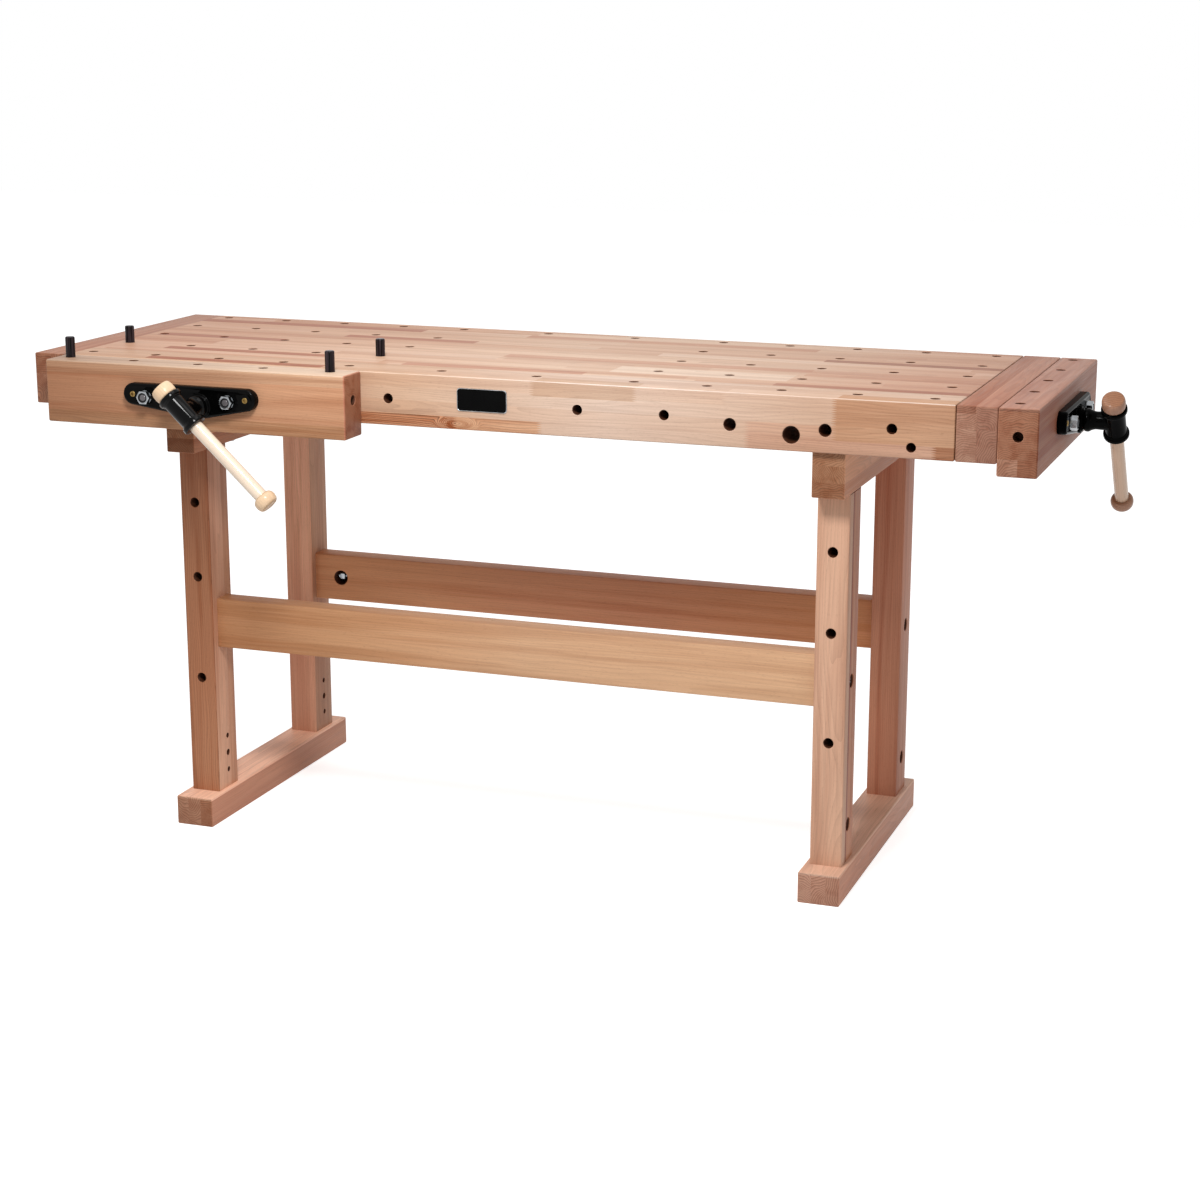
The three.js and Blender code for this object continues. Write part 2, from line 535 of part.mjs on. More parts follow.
// Irons of one vise in its own frame: the jaw's outer face is at w = 0, the host is what the rods pass next
function addVise(name, group, hostThickness, lean) {
  const screwCentre = [SCREW_SIDE_OFFSET, -SCREW_DROP_BELOW_RODS];
  const hubCircle = (radius) => ({ u: SCREW_SIDE_OFFSET, v: -SCREW_DROP_BELOW_RODS, radius });
  const plateBottom = GLUE_LINE;
  const plateTop = plateBottom + PLATE_THICKNESS;
  const hubTop = plateTop + HUB_HEIGHT;
  const behindHost = -(JAW_THICKNESS + JAW_GAP + hostThickness + GLUE_LINE);
  const bossBack = behindHost - NUT_BOSS_LENGTH;
  const yokeFront = bossBack - JAW_TRAVEL_LENGTH - STOP_CLEARANCE;
  const yokeBack = yokeFront - YOKE_THICKNESS;
  const screwTail = bossBack - JAW_TRAVEL_LENGTH + TAIL_LENGTH_IN_NUT;
  const studBore = ROD_STUD_DIAMETER + BOLT_CLEARANCE;
  const throughPlate = [0, hubTop + GLUE_LINE];

  const tips = plateSpread.map((u) => ({ u, v: PLATE_TIP_RISE, radius: PLATE_TIP_RADIUS }));
  const insideRound = (circle) => ({ ...circle, radius: circle.radius - PLATE_EDGE_RADIUS });
  const plateShape = outlineAround([tips[0], hubCircle(PLATE_HUB_RADIUS), tips[1]].map(insideRound));
  const plateBody = new THREE.ExtrudeGeometry(plateShape, {
    depth: PLATE_THICKNESS - 2 * PLATE_EDGE_RADIUS,
    bevelThickness: PLATE_EDGE_RADIUS,
    bevelSize: PLATE_EDGE_RADIUS,
    bevelSegments: EDGE_STEPS,
    curveSegments: ARC_STEPS,
  }).translate(0, 0, plateBottom + PLATE_EDGE_RADIUS);
  const hubDiameter = 2 * (PLATE_HUB_RADIUS - PLATE_EDGE_RADIUS);
  const hub = round('z', hubDiameter, plateBottom, hubTop, screwCentre, ROUND_SIDES);
  const headSeat = plateTop - PLATE_SCREW_HEAD_HEIGHT;
  const tipHole = (diameter, from, to) => (u) =>
    round('z', diameter, from, to, [u, PLATE_TIP_RISE], SMALL_SIDES);
  place(group, `${name}_plate`, cut(joined(plateBody, hub), [
    round('z', JOURNAL_DIAMETER + 2 * RUNNING_CLEARANCE, ...throughPlate, screwCentre, ROUND_SIDES),
    ...rodSides.map((u) => round('z', studBore, ...throughPlate, [u, 0])),
    ...plateSpread.map(tipHole(PLATE_SCREW_DIAMETER + BOLT_CLEARANCE, ...throughPlate)),
    ...plateSpread.map(tipHole(PLATE_SCREW_HEAD_DIAMETER + BOLT_CLEARANCE, headSeat, hubTop)),
  ]), 'castIron');

  const stud = ROD_STUD_DIAMETER / 2;
  const shaft = ROD_DIAMETER / 2;
  const nutBottom = plateTop + GLUE_LINE;
  const nutTop = nutBottom + ROD_NUT_HEIGHT;
  const frontShoulder = plateBottom - GLUE_LINE;
  const backShoulder = yokeFront + GLUE_LINE;
  const rodProfile = [
    [0, yokeBack], [stud, yokeBack], [stud, backShoulder], [shaft, backShoulder], [shaft, frontShoulder],
    [stud, frontShoulder], [stud, nutTop + ROD_STUD_PROUD], [0, nutTop + ROD_STUD_PROUD],
  ];
  ['left', 'right'].forEach((side, i) => {
    const axis = [rodSides[i], 0];
    place(group, `${name}_${side}_guide_rod`, turned(rodProfile, HOLE_SIDES).translate(...axis, 0), 'steel');
    const nutBore = round('z', studBore, plateTop, nutTop + GLUE_LINE, axis);
    const nut = hexagon('z', ROD_NUT_ACROSS, nutBottom, nutTop, axis);
    place(group, `${name}_${side}_rod_nut`, cut(nut, [nutBore]), 'zinc');
    const tip = plateSpread[i];
    const headBottom = headSeat + GLUE_LINE;
    const headTop = headBottom + PLATE_SCREW_HEAD_HEIGHT;
    const shank = tipHole(PLATE_SCREW_DIAMETER, GLUE_LINE - PLATE_SCREW_LENGTH, headTop)(tip);
    const head = tipHole(PLATE_SCREW_HEAD_DIAMETER, headBottom, headTop)(tip);
    place(group, `${name}_${side}_plate_screw`, joined(shank, head), 'brass');
  });
  const halfYoke = YOKE_HEIGHT / 2;
  const yokeSpan = [rodSides[0] - YOKE_END_LENGTH, rodSides[1] + YOKE_END_LENGTH];
  const yoke = block(...yokeSpan, -halfYoke, halfYoke, yokeBack, yokeFront);
  const yokeBore = (u) => round('z', studBore, yokeBack - GLUE_LINE, yokeFront + GLUE_LINE, [u, 0]);
  place(group, `${name}_yoke`, cut(yoke, rodSides.map(yokeBore)), 'blackSteel');

  const bracketTips = bracketSpread.map((u) => ({ u, v: 0, radius: BRACKET_TIP_RADIUS }));
  const bracketShape = outlineAround([bracketTips[0], hubCircle(NUT_BOSS_RADIUS), bracketTips[1]]);
  const bracketBack = behindHost - BRACKET_THICKNESS;
  const flange = new THREE.ExtrudeGeometry(bracketShape, {
    depth: BRACKET_THICKNESS,
    bevelEnabled: false,
    curveSegments: ARC_STEPS,
  }).translate(0, 0, bracketBack);
  const bossDiameter = 2 * (NUT_BOSS_RADIUS - BOSS_STEP_HEIGHT);
  const boss = round('z', bossDiameter, bossBack, behindHost, screwCentre, ROUND_SIDES);
  const throughBracket = [bossBack - GLUE_LINE, behindHost + GLUE_LINE];
  place(group, `${name}_nut_bracket`, cut(joined(flange, boss), [
    round('z', SCREW_DIAMETER + 2 * RUNNING_CLEARANCE, ...throughBracket, screwCentre, ROUND_SIDES),
    ...rodSides.map((u) => round('z', ROD_BORE_DIAMETER, ...throughBracket, [u, 0])),
  ]), 'castIron');

  const turning = new THREE.Group();
  turning.position.set(...screwCentre, 0);
  turning.rotation.z = lean;
  group.add(turning);
  const onAxis = [0, 0];
  const thread = SCREW_DIAMETER / 2;
  const journal = JOURNAL_DIAMETER / 2;
  const tenonRadius = TENON_OF_SCREW_DIAMETER / 2;
  const headBase = hubTop + RUNNING_CLEARANCE;
  const retainerTop = plateBottom - RUNNING_CLEARANCE;
  const retainerBottom = retainerTop - RETAINER_LENGTH;
  const tenonBase = headBase - GLUE_LINE;
  const threadEnd = retainerBottom - GLUE_LINE;
  const tenonEnd = headBase + TENON_OF_SCREW_LENGTH;
  place(turning, `${name}_screw`, turned([
    [0, screwTail], [thread - SCREW_TAIL_CHAMFER, screwTail], [thread, screwTail + SCREW_TAIL_CHAMFER],
    [thread, threadEnd], [journal, threadEnd], [journal, tenonBase], [tenonRadius, tenonBase],
    [tenonRadius, tenonEnd], [0, tenonEnd],
  ]), 'steel');
  const ring = round('z', RETAINER_DIAMETER, retainerBottom, retainerTop, onAxis, ROUND_SIDES);
  const ringBoreDiameter = JOURNAL_DIAMETER + 2 * GLUE_LINE;
  const ringBore = round('z', ringBoreDiameter, threadEnd, plateBottom, onAxis, ROUND_SIDES);
  place(turning, `${name}_retainer`, cut(ring, [ringBore]), 'steel');

  const halfBarrel = BARREL_LENGTH / 2;
  const barrelAxis = [0, HEAD_REACH];
  const flangeAt = (from) => round('y', FLANGE_DIAMETER, from, from + FLANGE_LENGTH, barrelAxis, ROUND_SIDES);
  const head = joined(
    round('z', NECK_DIAMETER, headBase, HEAD_REACH, onAxis, ROUND_SIDES),
    round('z', COLLAR_DIAMETER, headBase, headBase + COLLAR_LENGTH, onAxis, ROUND_SIDES),
    round('y', BARREL_DIAMETER, -halfBarrel, halfBarrel, barrelAxis, ROUND_SIDES),
    flangeAt(-halfBarrel),
    flangeAt(halfBarrel - FLANGE_LENGTH),
  );
  const barBore = BAR_DIAMETER + 2 * RUNNING_CLEARANCE;
  const socket = TENON_OF_SCREW_DIAMETER + 2 * GLUE_LINE;
  place(turning, `${name}_head`, cut(head, [
    round('y', barBore, -halfBarrel - GLUE_LINE, halfBarrel + GLUE_LINE, barrelAxis, ROUND_SIDES),
    round('z', socket, headBase - GLUE_LINE, tenonEnd + GLUE_LINE, onAxis, ROUND_SIDES),
  ]), 'castIron');

  const upperFace = halfBarrel + GLUE_LINE;
  const lowerFace = upperFace - BAR_BETWEEN_KNOBS;
  const inKnob = KNOB_SOCKET_DEPTH - GLUE_LINE;
  const barSpan = [lowerFace - inKnob, upperFace + inKnob];
  place(turning, `${name}_bar`, round('y', BAR_DIAMETER, ...barSpan, barrelAxis, ROUND_SIDES), 'beechPale');
  const knobRadius = KNOB_DIAMETER / 2;
  const socketRadius = BAR_DIAMETER / 2 + GLUE_LINE;
  const endRadius = knobRadius - KNOB_EDGE_CHAMFER;
  const knobProfile = [
    [0, KNOB_SOCKET_DEPTH], [socketRadius, KNOB_SOCKET_DEPTH], [socketRadius, 0], [endRadius, 0],
    [knobRadius, KNOB_EDGE_CHAMFER], [knobRadius, KNOB_LENGTH - KNOB_EDGE_CHAMFER], [endRadius, KNOB_LENGTH],
    [0, KNOB_LENGTH],
  ];
  const upper = place(turning, `${name}_upper_knob`, turned(knobProfile), 'beechPale');
  upper.rotation.x = -Math.PI / 2;
  upper.position.set(0, upperFace, HEAD_REACH);
  const lower = place(turning, `${name}_lower_knob`, turned(knobProfile), 'beechPale');
  lower.rotation.x = Math.PI / 2;
  lower.position.set(0, lowerFace, HEAD_REACH);
}

function addVises() {
  const front = new THREE.Group();
  front.position.set(frontJawMiddle, -jawOuterFace, rodHeight);
  front.rotation.x = Math.PI / 2;
  const end = new THREE.Group();
  end.position.set(capEnd + jawOuterFace, TOP_DEPTH / 2, rodHeight);
  end.rotation.set(Math.PI / 2, 0, Math.PI / 2, 'ZYX');
  bench.add(front, end);
  addVise('front', front, BEAM_WIDTH, FRONT_BAR_LEAN);
  addVise('end', end, CAP_WIDTH, END_BAR_LEAN);
}

function addDogs() {
  const radius = DOG_HOLE_DIAMETER / 2 - FACET_CLEARANCE;
  const profile = [
    [0, 0], [radius - DOG_CHAMFER, 0], [radius, DOG_CHAMFER], [radius, DOG_LENGTH - DOG_CHAMFER],
    [radius - DOG_CHAMFER, DOG_LENGTH], [0, DOG_LENGTH],
  ];
  const places = {
    jaw: [-JAW_GAP - JAW_HOLE_FROM_INNER_FACE, JAW_DOG_STAND_HEIGHT],
    top: [rows[DOG_ROW_ON_TOP], TOP_DOG_STAND_HEIGHT],
  };
  for (const [where, [y, stands]] of Object.entries(places)) {
    ['left', 'right'].forEach((side, i) => {
      const dog = turned(profile, HOLE_SIDES);
      dog.translate(columns[DOG_COLUMNS[i]], y, TOP_HEIGHT + stands - DOG_LENGTH);
      place(bench, `${side}_${where}_dog`, dog, 'blackSteel');
    });
  }
}

addTop();
addBase();
addBadge();
addJaws();
addVises();
addDogs();

// The origin is on the floor under the middle of the whole object
const part = new THREE.Group();
part.add(bench);
part.updateMatrixWorld(true);
const middle = new THREE.Box3().setFromObject(bench, true).getCenter(new THREE.Vector3());
bench.position.set(-middle.x, -middle.y, 0);
part.updateMatrixWorld(true);

export default part;
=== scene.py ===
import json
import math
from functools import partial

import bmesh
import bpy
from mathutils import Matrix, Vector

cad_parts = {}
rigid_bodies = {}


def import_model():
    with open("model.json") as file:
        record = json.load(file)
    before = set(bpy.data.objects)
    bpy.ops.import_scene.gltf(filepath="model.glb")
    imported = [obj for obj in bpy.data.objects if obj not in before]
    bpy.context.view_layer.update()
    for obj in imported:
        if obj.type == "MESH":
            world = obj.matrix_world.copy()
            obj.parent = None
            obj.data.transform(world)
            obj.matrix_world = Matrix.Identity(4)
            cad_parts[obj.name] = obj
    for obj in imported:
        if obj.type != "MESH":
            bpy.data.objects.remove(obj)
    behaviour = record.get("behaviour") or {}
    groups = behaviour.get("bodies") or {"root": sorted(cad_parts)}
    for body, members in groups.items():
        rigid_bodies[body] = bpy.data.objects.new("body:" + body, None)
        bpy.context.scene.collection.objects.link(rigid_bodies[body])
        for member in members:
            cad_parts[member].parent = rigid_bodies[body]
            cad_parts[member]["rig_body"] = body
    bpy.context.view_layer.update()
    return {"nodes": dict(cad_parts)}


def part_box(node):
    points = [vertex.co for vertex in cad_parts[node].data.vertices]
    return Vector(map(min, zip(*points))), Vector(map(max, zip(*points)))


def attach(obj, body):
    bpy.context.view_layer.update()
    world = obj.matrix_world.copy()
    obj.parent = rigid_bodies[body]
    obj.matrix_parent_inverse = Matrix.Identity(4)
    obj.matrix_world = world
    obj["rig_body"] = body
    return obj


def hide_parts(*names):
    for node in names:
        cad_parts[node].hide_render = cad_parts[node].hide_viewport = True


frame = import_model()

# Feet: each trestle stands on a beech foot, glued up from three boards set on edge.
# The edges are eased with a round-over cutter, and the posts are tenoned into it.
left_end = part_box("left_end_cap")[0].x
front_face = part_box("front_beam")[0].y


def at(x, y, z):
    """A place in millimetres from the bench's left end, its front face and the floor."""
    return Vector((left_end + x / 1000, front_face + y / 1000, z / 1000))


def linear(code):
    """An sRGB hex colour as linear light."""
    parts = [int(code[i:i + 2], 16) / 255 for i in (1, 3, 5)]
    return (*[p / 12.92 if p <= 0.04045 else ((p + 0.055) / 1.055) ** 2.4 for p in parts], 1)


def feed(node, inputs):
    """Sets a node's inputs: constants directly, sockets by links; a node stands for its first output."""
    for key, value in inputs.items():
        source = value.outputs[0] if isinstance(value, bpy.types.Node) else value
        if isinstance(source, bpy.types.NodeSocket):
            node.id_data.links.new(source, node.inputs[key])
        else:
            node.inputs[key].default_value = source


def add(tree, kind, *inputs, stops=(), **settings):
    """Adds one node with its settings and the stops of its colour ramp. Its inputs come in their order, or in
    a dict by name or number."""
    node = tree.nodes.new(kind)
    for name, value in settings.items():
        setattr(node, name, value)
    for _ in stops[2:]:
        node.color_ramp.elements.new(0.5)
    for i, (place, colour) in enumerate(stops):
        node.color_ramp.elements[i].position = place
        node.color_ramp.elements[i].color = linear(colour)
    for i, value in enumerate(inputs):
        feed(node, value if isinstance(value, dict) else {i: value})
    return node


def new_material(name):
    """A material, its node tree and its shader."""
    material = bpy.data.materials.new(name)
    material.use_nodes = True
    return material, material.node_tree, material.node_tree.nodes["Principled BSDF"]


def beech(name, grain, low, stave, tones, length=0.9, fingers=0.0, end_shade=0.74, figure=1.0, seed=0.0,
          streaks=0.45, blocks=(), knot=None, lean=(0, 0, 0), gloss=(0.42, 0.58), coat=0.0, end_rich=1.12,
          painted_shade=None):
    """Steamed beech, planed, sanded and oiled: pinkish tan staves of differing tone with redder streaks and
    short dark flecks; growth rings show as arcs on the darker ends and as long flames on the sides."""
    material, tree, shader = new_material(name)
    node = partial(add, tree)

    def drawn_out(place, stretch, **settings):
        """Noise that is stretched along the grain."""
        stretched = node("ShaderNodeVectorMath", place, stretch, operation="MULTIPLY")
        return node("ShaderNodeTexNoise", {0: stretched, "Scale": 1.0, **settings})

    order = (grain, *[axis for axis in range(3) if axis != grain])
    coords = node("ShaderNodeTexCoord")
    upright = node("ShaderNodeMapping", {"Vector": coords.outputs["Object"], "Rotation": lean})
    split = node("ShaderNodeSeparateXYZ", upright)
    laid = node("ShaderNodeCombineXYZ", {i: split.outputs[axis] for i, axis in enumerate(order)})
    # The staves start a little outside the board, since its faces were planed after gluing
    planed_off = 0.0011
    start = [low[axis] - planed_off for axis in order]
    inside = node("ShaderNodeVectorMath", laid, start, operation="SUBTRACT")
    cells = node("ShaderNodeVectorMath", inside, (length, *stave), operation="DIVIDE")
    # Each stave has its own joints along its length, cut as a comb of fingers 4 mm apart
    half_pitch, most_shift = 0.002, 7.0
    index = node("ShaderNodeVectorMath", cells, operation="FLOOR")
    row = node("ShaderNodeVectorMath", index, (0, 1, 1), (seed, 0.5, 0.5), operation="MULTIPLY_ADD")
    row_random = node("ShaderNodeTexWhiteNoise", row)
    comb = node("ShaderNodeMath", split.outputs[order[2]], half_pitch, operation="PINGPONG")
    finger = node("ShaderNodeMath", comb, fingers / half_pitch, operation="MULTIPLY")
    reach = node("ShaderNodeMath", finger, length, operation="DIVIDE")
    shift = node("ShaderNodeMath", row_random, most_shift, reach, operation="MULTIPLY_ADD")
    along = node("ShaderNodeCombineXYZ", shift)
    jointed = node("ShaderNodeVectorMath", cells, along, operation="ADD")
    block = node("ShaderNodeVectorMath", jointed, operation="FLOOR")
    seeded = node("ShaderNodeVectorMath", block, (seed, seed, 0.5), operation="ADD")
    random = node("ShaderNodeTexWhiteNoise", seeded)
    # Single blocks of another tone, each between two corners, with a streakiness of its own; some thin ones
    # on a face are painted light and shade
    colour, strength = node("ShaderNodeValToRGB", random, stops=tones), streaks
    jointed_place = node("ShaderNodeMath", split.outputs[grain], finger, operation="ADD")
    for corner, far, shade_of, wild in blocks:
        middle, half = (corner + far) / 2, (far - corner) / 2
        mask = node("ShaderNodeMath", jointed_place, middle[grain], half[grain], operation="COMPARE")
        for axis in order[1:]:
            there = node("ShaderNodeMath", split.outputs[axis], middle[axis], half[axis], operation="COMPARE")
            mask = node("ShaderNodeMath", mask, there, operation="MULTIPLY")
        mixed = node("ShaderNodeMix", mask, {6: colour, 7: linear(shade_of)}, data_type="RGBA")
        colour = mixed.outputs[2]
        strength = node("ShaderNodeMath", mask, wild, strength, operation="MULTIPLY_ADD")
    if painted_shade:
        # Painted light and shade: the tone is multiplied along the board by these tints at these distances
        # from its low end, darker where less light falls
        span = painted_shade[-1][0]
        place = node("ShaderNodeMapRange", split.outputs[grain], low[grain], low[grain] + span)
        tints = [(distance / span, shade_of) for distance, shade_of in painted_shade]
        tint = node("ShaderNodeValToRGB", place, stops=tints)
        toned = node("ShaderNodeMix", 1.0, {6: colour, 7: tint}, data_type="RGBA", blend_type="MULTIPLY")
        colour = toned.outputs[2]
    # Growth rings 4 mm wide, sharp on one side, round a heart that lies up to 80 mm off the stave
    ring_width, heart_off, wander_by, sharpness = 0.0038, 0.08, 0.045, 2.2
    local = node("ShaderNodeVectorMath", cells, operation="FRACTION")
    centred = node("ShaderNodeVectorMath", local, (0, *stave), (0, -heart_off, -heart_off),
                   operation="MULTIPLY_ADD")
    heart = node("ShaderNodeVectorMath", random.outputs[1], (0, 2 * heart_off, 2 * heart_off), centred,
                 operation="MULTIPLY_ADD")
    radius = node("ShaderNodeVectorMath", heart, operation="LENGTH")
    own = node("ShaderNodeVectorMath", random.outputs[1], (40, 40, 40), laid, operation="MULTIPLY_ADD")
    wander = drawn_out(own, (2.2, 16, 16), Detail=2.0)
    bent = node("ShaderNodeMath", wander, wander_by * figure, radius.outputs["Value"],
                operation="MULTIPLY_ADD")
    flow = own
    if knot:
        # The rings and streaks part round a knot, which is longer along the grain than across it
        squeeze = Vector((1.1, 1.0, 3.3))
        knot_reach, knot_bulge = 0.06, 0.04
        pressed = node("ShaderNodeVectorMath", upright, squeeze, operation="MULTIPLY")
        away = node("ShaderNodeVectorMath", pressed, knot * squeeze, operation="DISTANCE")
        bulge = node("ShaderNodeMapRange", away.outputs["Value"], {2: knot_reach, 3: knot_bulge, 4: 0.0},
                     interpolation_type="SMOOTHSTEP")
        bent = node("ShaderNodeMath", bent, bulge, operation="ADD")
        around = node("ShaderNodeCombineXYZ", {1: bulge, 2: bulge})
        flow = node("ShaderNodeVectorMath", own, around, operation="ADD")
    count = node("ShaderNodeMath", bent, ring_width, operation="DIVIDE")
    within = node("ShaderNodeMath", count, operation="FRACT")
    ring = node("ShaderNodeMath", within, sharpness, operation="POWER")
    # Fibres 2 mm apart and flecks 8 mm long, both drawn coarser than real ones so that they show
    fibre = drawn_out(own, (7, 420, 420), Detail=3.0, Roughness=0.6)
    fleck_noise = drawn_out(own, (120, 800, 800), Detail=1.0)
    fleck = node("ShaderNodeMapRange", fleck_noise, 0.6, 0.74)
    facing_way = node("ShaderNodeMapping", {"Vector": coords.outputs["Normal"], "Rotation": lean})
    normal = node("ShaderNodeSeparateXYZ", facing_way)
    facing = node("ShaderNodeMath", normal.outputs[grain], operation="ABSOLUTE")
    end = node("ShaderNodeMapRange", facing, 0.55, 0.9)
    # Rings are faint on the sides, and stronger on the ends and in wild blocks
    side_rings, wild_rings, end_rings = -0.14 * figure, -0.7, -0.5
    fibre_light, fibre_base, fleck_dark = 0.36, -0.16, -0.12
    if blocks:
        side_rings = node("ShaderNodeMath", strength, wild_rings, side_rings - wild_rings * streaks,
                          operation="MULTIPLY_ADD")
    ring_depth = node("ShaderNodeMapRange", end, {3: side_rings, 4: end_rings})
    ringed = node("ShaderNodeMath", ring, ring_depth, 1.0, operation="MULTIPLY_ADD")
    fibred = node("ShaderNodeMath", fibre, fibre_light, fibre_base, operation="MULTIPLY_ADD")
    light = node("ShaderNodeMath", ringed, fibred, operation="ADD")
    flecked = node("ShaderNodeMath", fleck, fleck_dark, light, operation="MULTIPLY_ADD")
    shade = node("ShaderNodeMapRange", end, {3: 1.0, 4: end_shade})
    value = node("ShaderNodeMath", flecked, shade, operation="MULTIPLY")
    # Redder streaks of heartwood, 20 to 40 mm wide and about a metre long
    streak_noise = drawn_out(flow, (1.3, 34, 34), Detail=4.0, Roughness=0.62, Distortion=0.4 * figure)
    streak = node("ShaderNodeMapRange", streak_noise, 0.44, 0.62, {4: strength})
    red = node("ShaderNodeHueSaturation", {"Hue": 0.486, "Saturation": 1.25, "Value": 0.56, "Color": colour})
    streaked = node("ShaderNodeMix", streak, {6: colour, 7: red}, data_type="RGBA")
    richness = node("ShaderNodeMapRange", end, {3: 1.0, 4: end_rich})
    wood = node("ShaderNodeHueSaturation", {"Saturation": richness, "Value": value,
                                            "Color": streaked.outputs[2]})
    sheen = node("ShaderNodeMapRange", fibre, 0.3, 0.7, gloss[0], gloss[1])
    grooves = node("ShaderNodeMath", fleck, -0.6, fibre, operation="MULTIPLY_ADD")
    bump = node("ShaderNodeBump", {"Strength": 0.25, "Distance": 0.0003, "Height": grooves})
    feed(shader, {"Base Color": wood, "Roughness": sheen, "Normal": bump, "Specular IOR Level": 0.15,
                  "Coat Weight": coat, "Coat Roughness": 0.12})
    return material


def smooth(data, crease):
    """Shades a mesh smooth, except where its faces turn by more than the crease in degrees."""
    data.shade_smooth()
    data.set_sharp_from_angle(angle=math.radians(crease))


def piece_of(name, mesh, material, crease=16):
    """A mesh as an object of the scene."""
    data = bpy.data.meshes.new(name)
    mesh.to_mesh(data)
    mesh.free()
    data.materials.append(material)
    smooth(data, crease)
    piece = bpy.data.objects.new(name, data)
    bpy.context.scene.collection.objects.link(piece)
    return piece


def board(name, low, high, material, ease=0.0025, square=()):
    """A planed board between two corners with eased edges, except round glued faces, named such as -x."""
    mesh = bmesh.new()
    bmesh.ops.create_cube(mesh, size=1)
    for vertex in mesh.verts:
        vertex.co = [low[i] if vertex.co[i] < 0 else high[i] for i in range(3)]
    glued = [("xyz".index(axis), low if sign == "-" else high) for sign, axis in square]
    eased = [edge for edge in mesh.edges
             if not any(all(abs(v.co[axis] - face[axis]) < 1e-6 for v in edge.verts) for axis, face in glued)]
    bmesh.ops.bevel(mesh, geom=eased, offset=ease, segments=3, profile=0.5, affect="EDGES")
    return piece_of(name, mesh, material)


def stand_for(piece, *nodes):
    """The piece takes the place of these solids, on their body."""
    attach(piece, frame["nodes"][nodes[0]]["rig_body"])
    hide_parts(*nodes)
    return piece


foot_tones = [(0.0, "#ac735a"), (0.5, "#cb9479"), (1.0, "#dfb097")]
foot_ends = {"left": (0.6, 1.12, "#f9c5a8"), "right": (0.74, 0.96, "#dbae94")}
for side, (end_shade, end_rich, top_tone) in foot_ends.items():
    low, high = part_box(f"{side}_foot")
    # Painted light: the top 4 mm of each foot is paler, the left foot's most
    painted_light_top = (Vector((-9, -9, high.z - 0.004)), Vector((9, 9, 9)), top_tone, 0.0)
    wood = beech(f"oiled_beech_{side}_foot", 1, low, (0.0275, 0.07), foot_tones, length=2.0, seed=len(side),
                 end_shade=end_shade, end_rich=end_rich, streaks=0.3, blocks=[painted_light_top])
    stand_for(board(f"{side}_foot_board", low, high, wood, ease=0.003), f"{side}_foot")

# Posts: two to each trestle, glued up from upright beech staves and tenoned into foot and bearer.
# The front ones have rows of holes for support pegs; all have counterbored bolt holes and a spare set below.
peg_heights = (299, 508, 660)
bolt_height, spare_height, dowel_apart = 411, 132, 36
peg_bore, counterbore, bolt_bore, dowel_bore = 0.0195, 0.026, 0.0128, 0.0105
peg_deep, counterbore_deep, post_through, spare_deep, dowel_deep = 0.05, 0.012, 0.0605, 0.02, 0.025
trestle_x = {"left": 310, "right": 1615}
outwards = {"left": -1, "right": 1}
post_y = {"front": 100, "back": 540}
post_half, post_front, bolt_off = 30.5, 60, 3


def shape_tree(name, inputs):
    """A geometry node tree with these inputs, the function that adds its nodes, and its input sockets."""
    tree = bpy.data.node_groups.new(name, "GeometryNodeTree")
    for label, kind in inputs.items():
        tree.interface.new_socket(label, in_out="INPUT", socket_type=f"NodeSocket{kind}")
    tree.interface.new_socket("Shape", in_out="OUTPUT", socket_type="NodeSocketGeometry")
    return tree, partial(add, tree), add(tree, "NodeGroupInput").outputs


def lifted(shape, height):
    """The shape raised by a height that its tree works out."""
    rise = add(shape.id_data, "ShaderNodeCombineXYZ", {2: height})
    return add(shape.id_data, "GeometryNodeTransform", shape, {"Translation": rise})


def end_tree(shape, finish, mark=None, other=None):
    """Ends a tree: real geometry in its finish, with the faces that carry the mark in the other one."""
    node = partial(add, shape.id_data)
    real = node("GeometryNodeRealizeInstances", shape)
    result = node("GeometryNodeSetMaterial", real, {"Material": finish})
    if mark:
        marked = node("GeometryNodeInputNamedAttribute", {"Name": mark}, data_type="BOOLEAN")
        result = node("GeometryNodeSetMaterial", result, {"Selection": marked, "Material": other})
    node("NodeGroupOutput", result)


bored_holes, node, given = shape_tree("bored_holes", {"Block": "Geometry", "Sides": "Int", "Flare": "Float",
                                                      "Finish": "Material", "Wall": "Material"})
radius = node("GeometryNodeInputNamedAttribute", {"Name": "bore_radius"}, data_type="FLOAT")
depth = node("GeometryNodeInputNamedAttribute", {"Name": "bore_depth"}, data_type="FLOAT")
outward = node("GeometryNodeInputNamedAttribute", {"Name": "bore_outward"}, data_type="FLOAT_VECTOR")
marked = node("FunctionNodeCompare", radius, 0.0, data_type="FLOAT", operation="GREATER_THAN")
parted = node("GeometryNodeSeparateGeometry", given["Block"], marked, domain="POINT")
# The drill starts a little above the mouth, and its sink widens the mouth
drill_above = 0.02
drill = node("GeometryNodeMeshCylinder", {"Vertices": given["Sides"], "Radius": 1.0,
                                          "Depth": 1 + drill_above})
cutting = node("GeometryNodeStoreNamedAttribute", drill, {"Name": "bored", "Value": True},
               data_type="BOOLEAN", domain="FACE")
lowered = node("GeometryNodeTransform", cutting, {"Translation": (0, 0, (drill_above - 1) / 2)})
wide = node("ShaderNodeMath", given["Flare"], 2.0, 1.0, operation="MULTIPLY_ADD")
tall = node("ShaderNodeMath", given["Flare"], 2.0, operation="MULTIPLY")
sink = node("GeometryNodeMeshCone", {"Vertices": given["Sides"], "Radius Top": wide, "Radius Bottom": 1.0,
                                     "Depth": tall})
below = node("ShaderNodeMath", given["Flare"], -1.0, operation="MULTIPLY")
turn = node("FunctionNodeAlignRotationToVector", {"Vector": outward}, axis="Z")
drill_size = node("ShaderNodeCombineXYZ", radius, radius, depth)
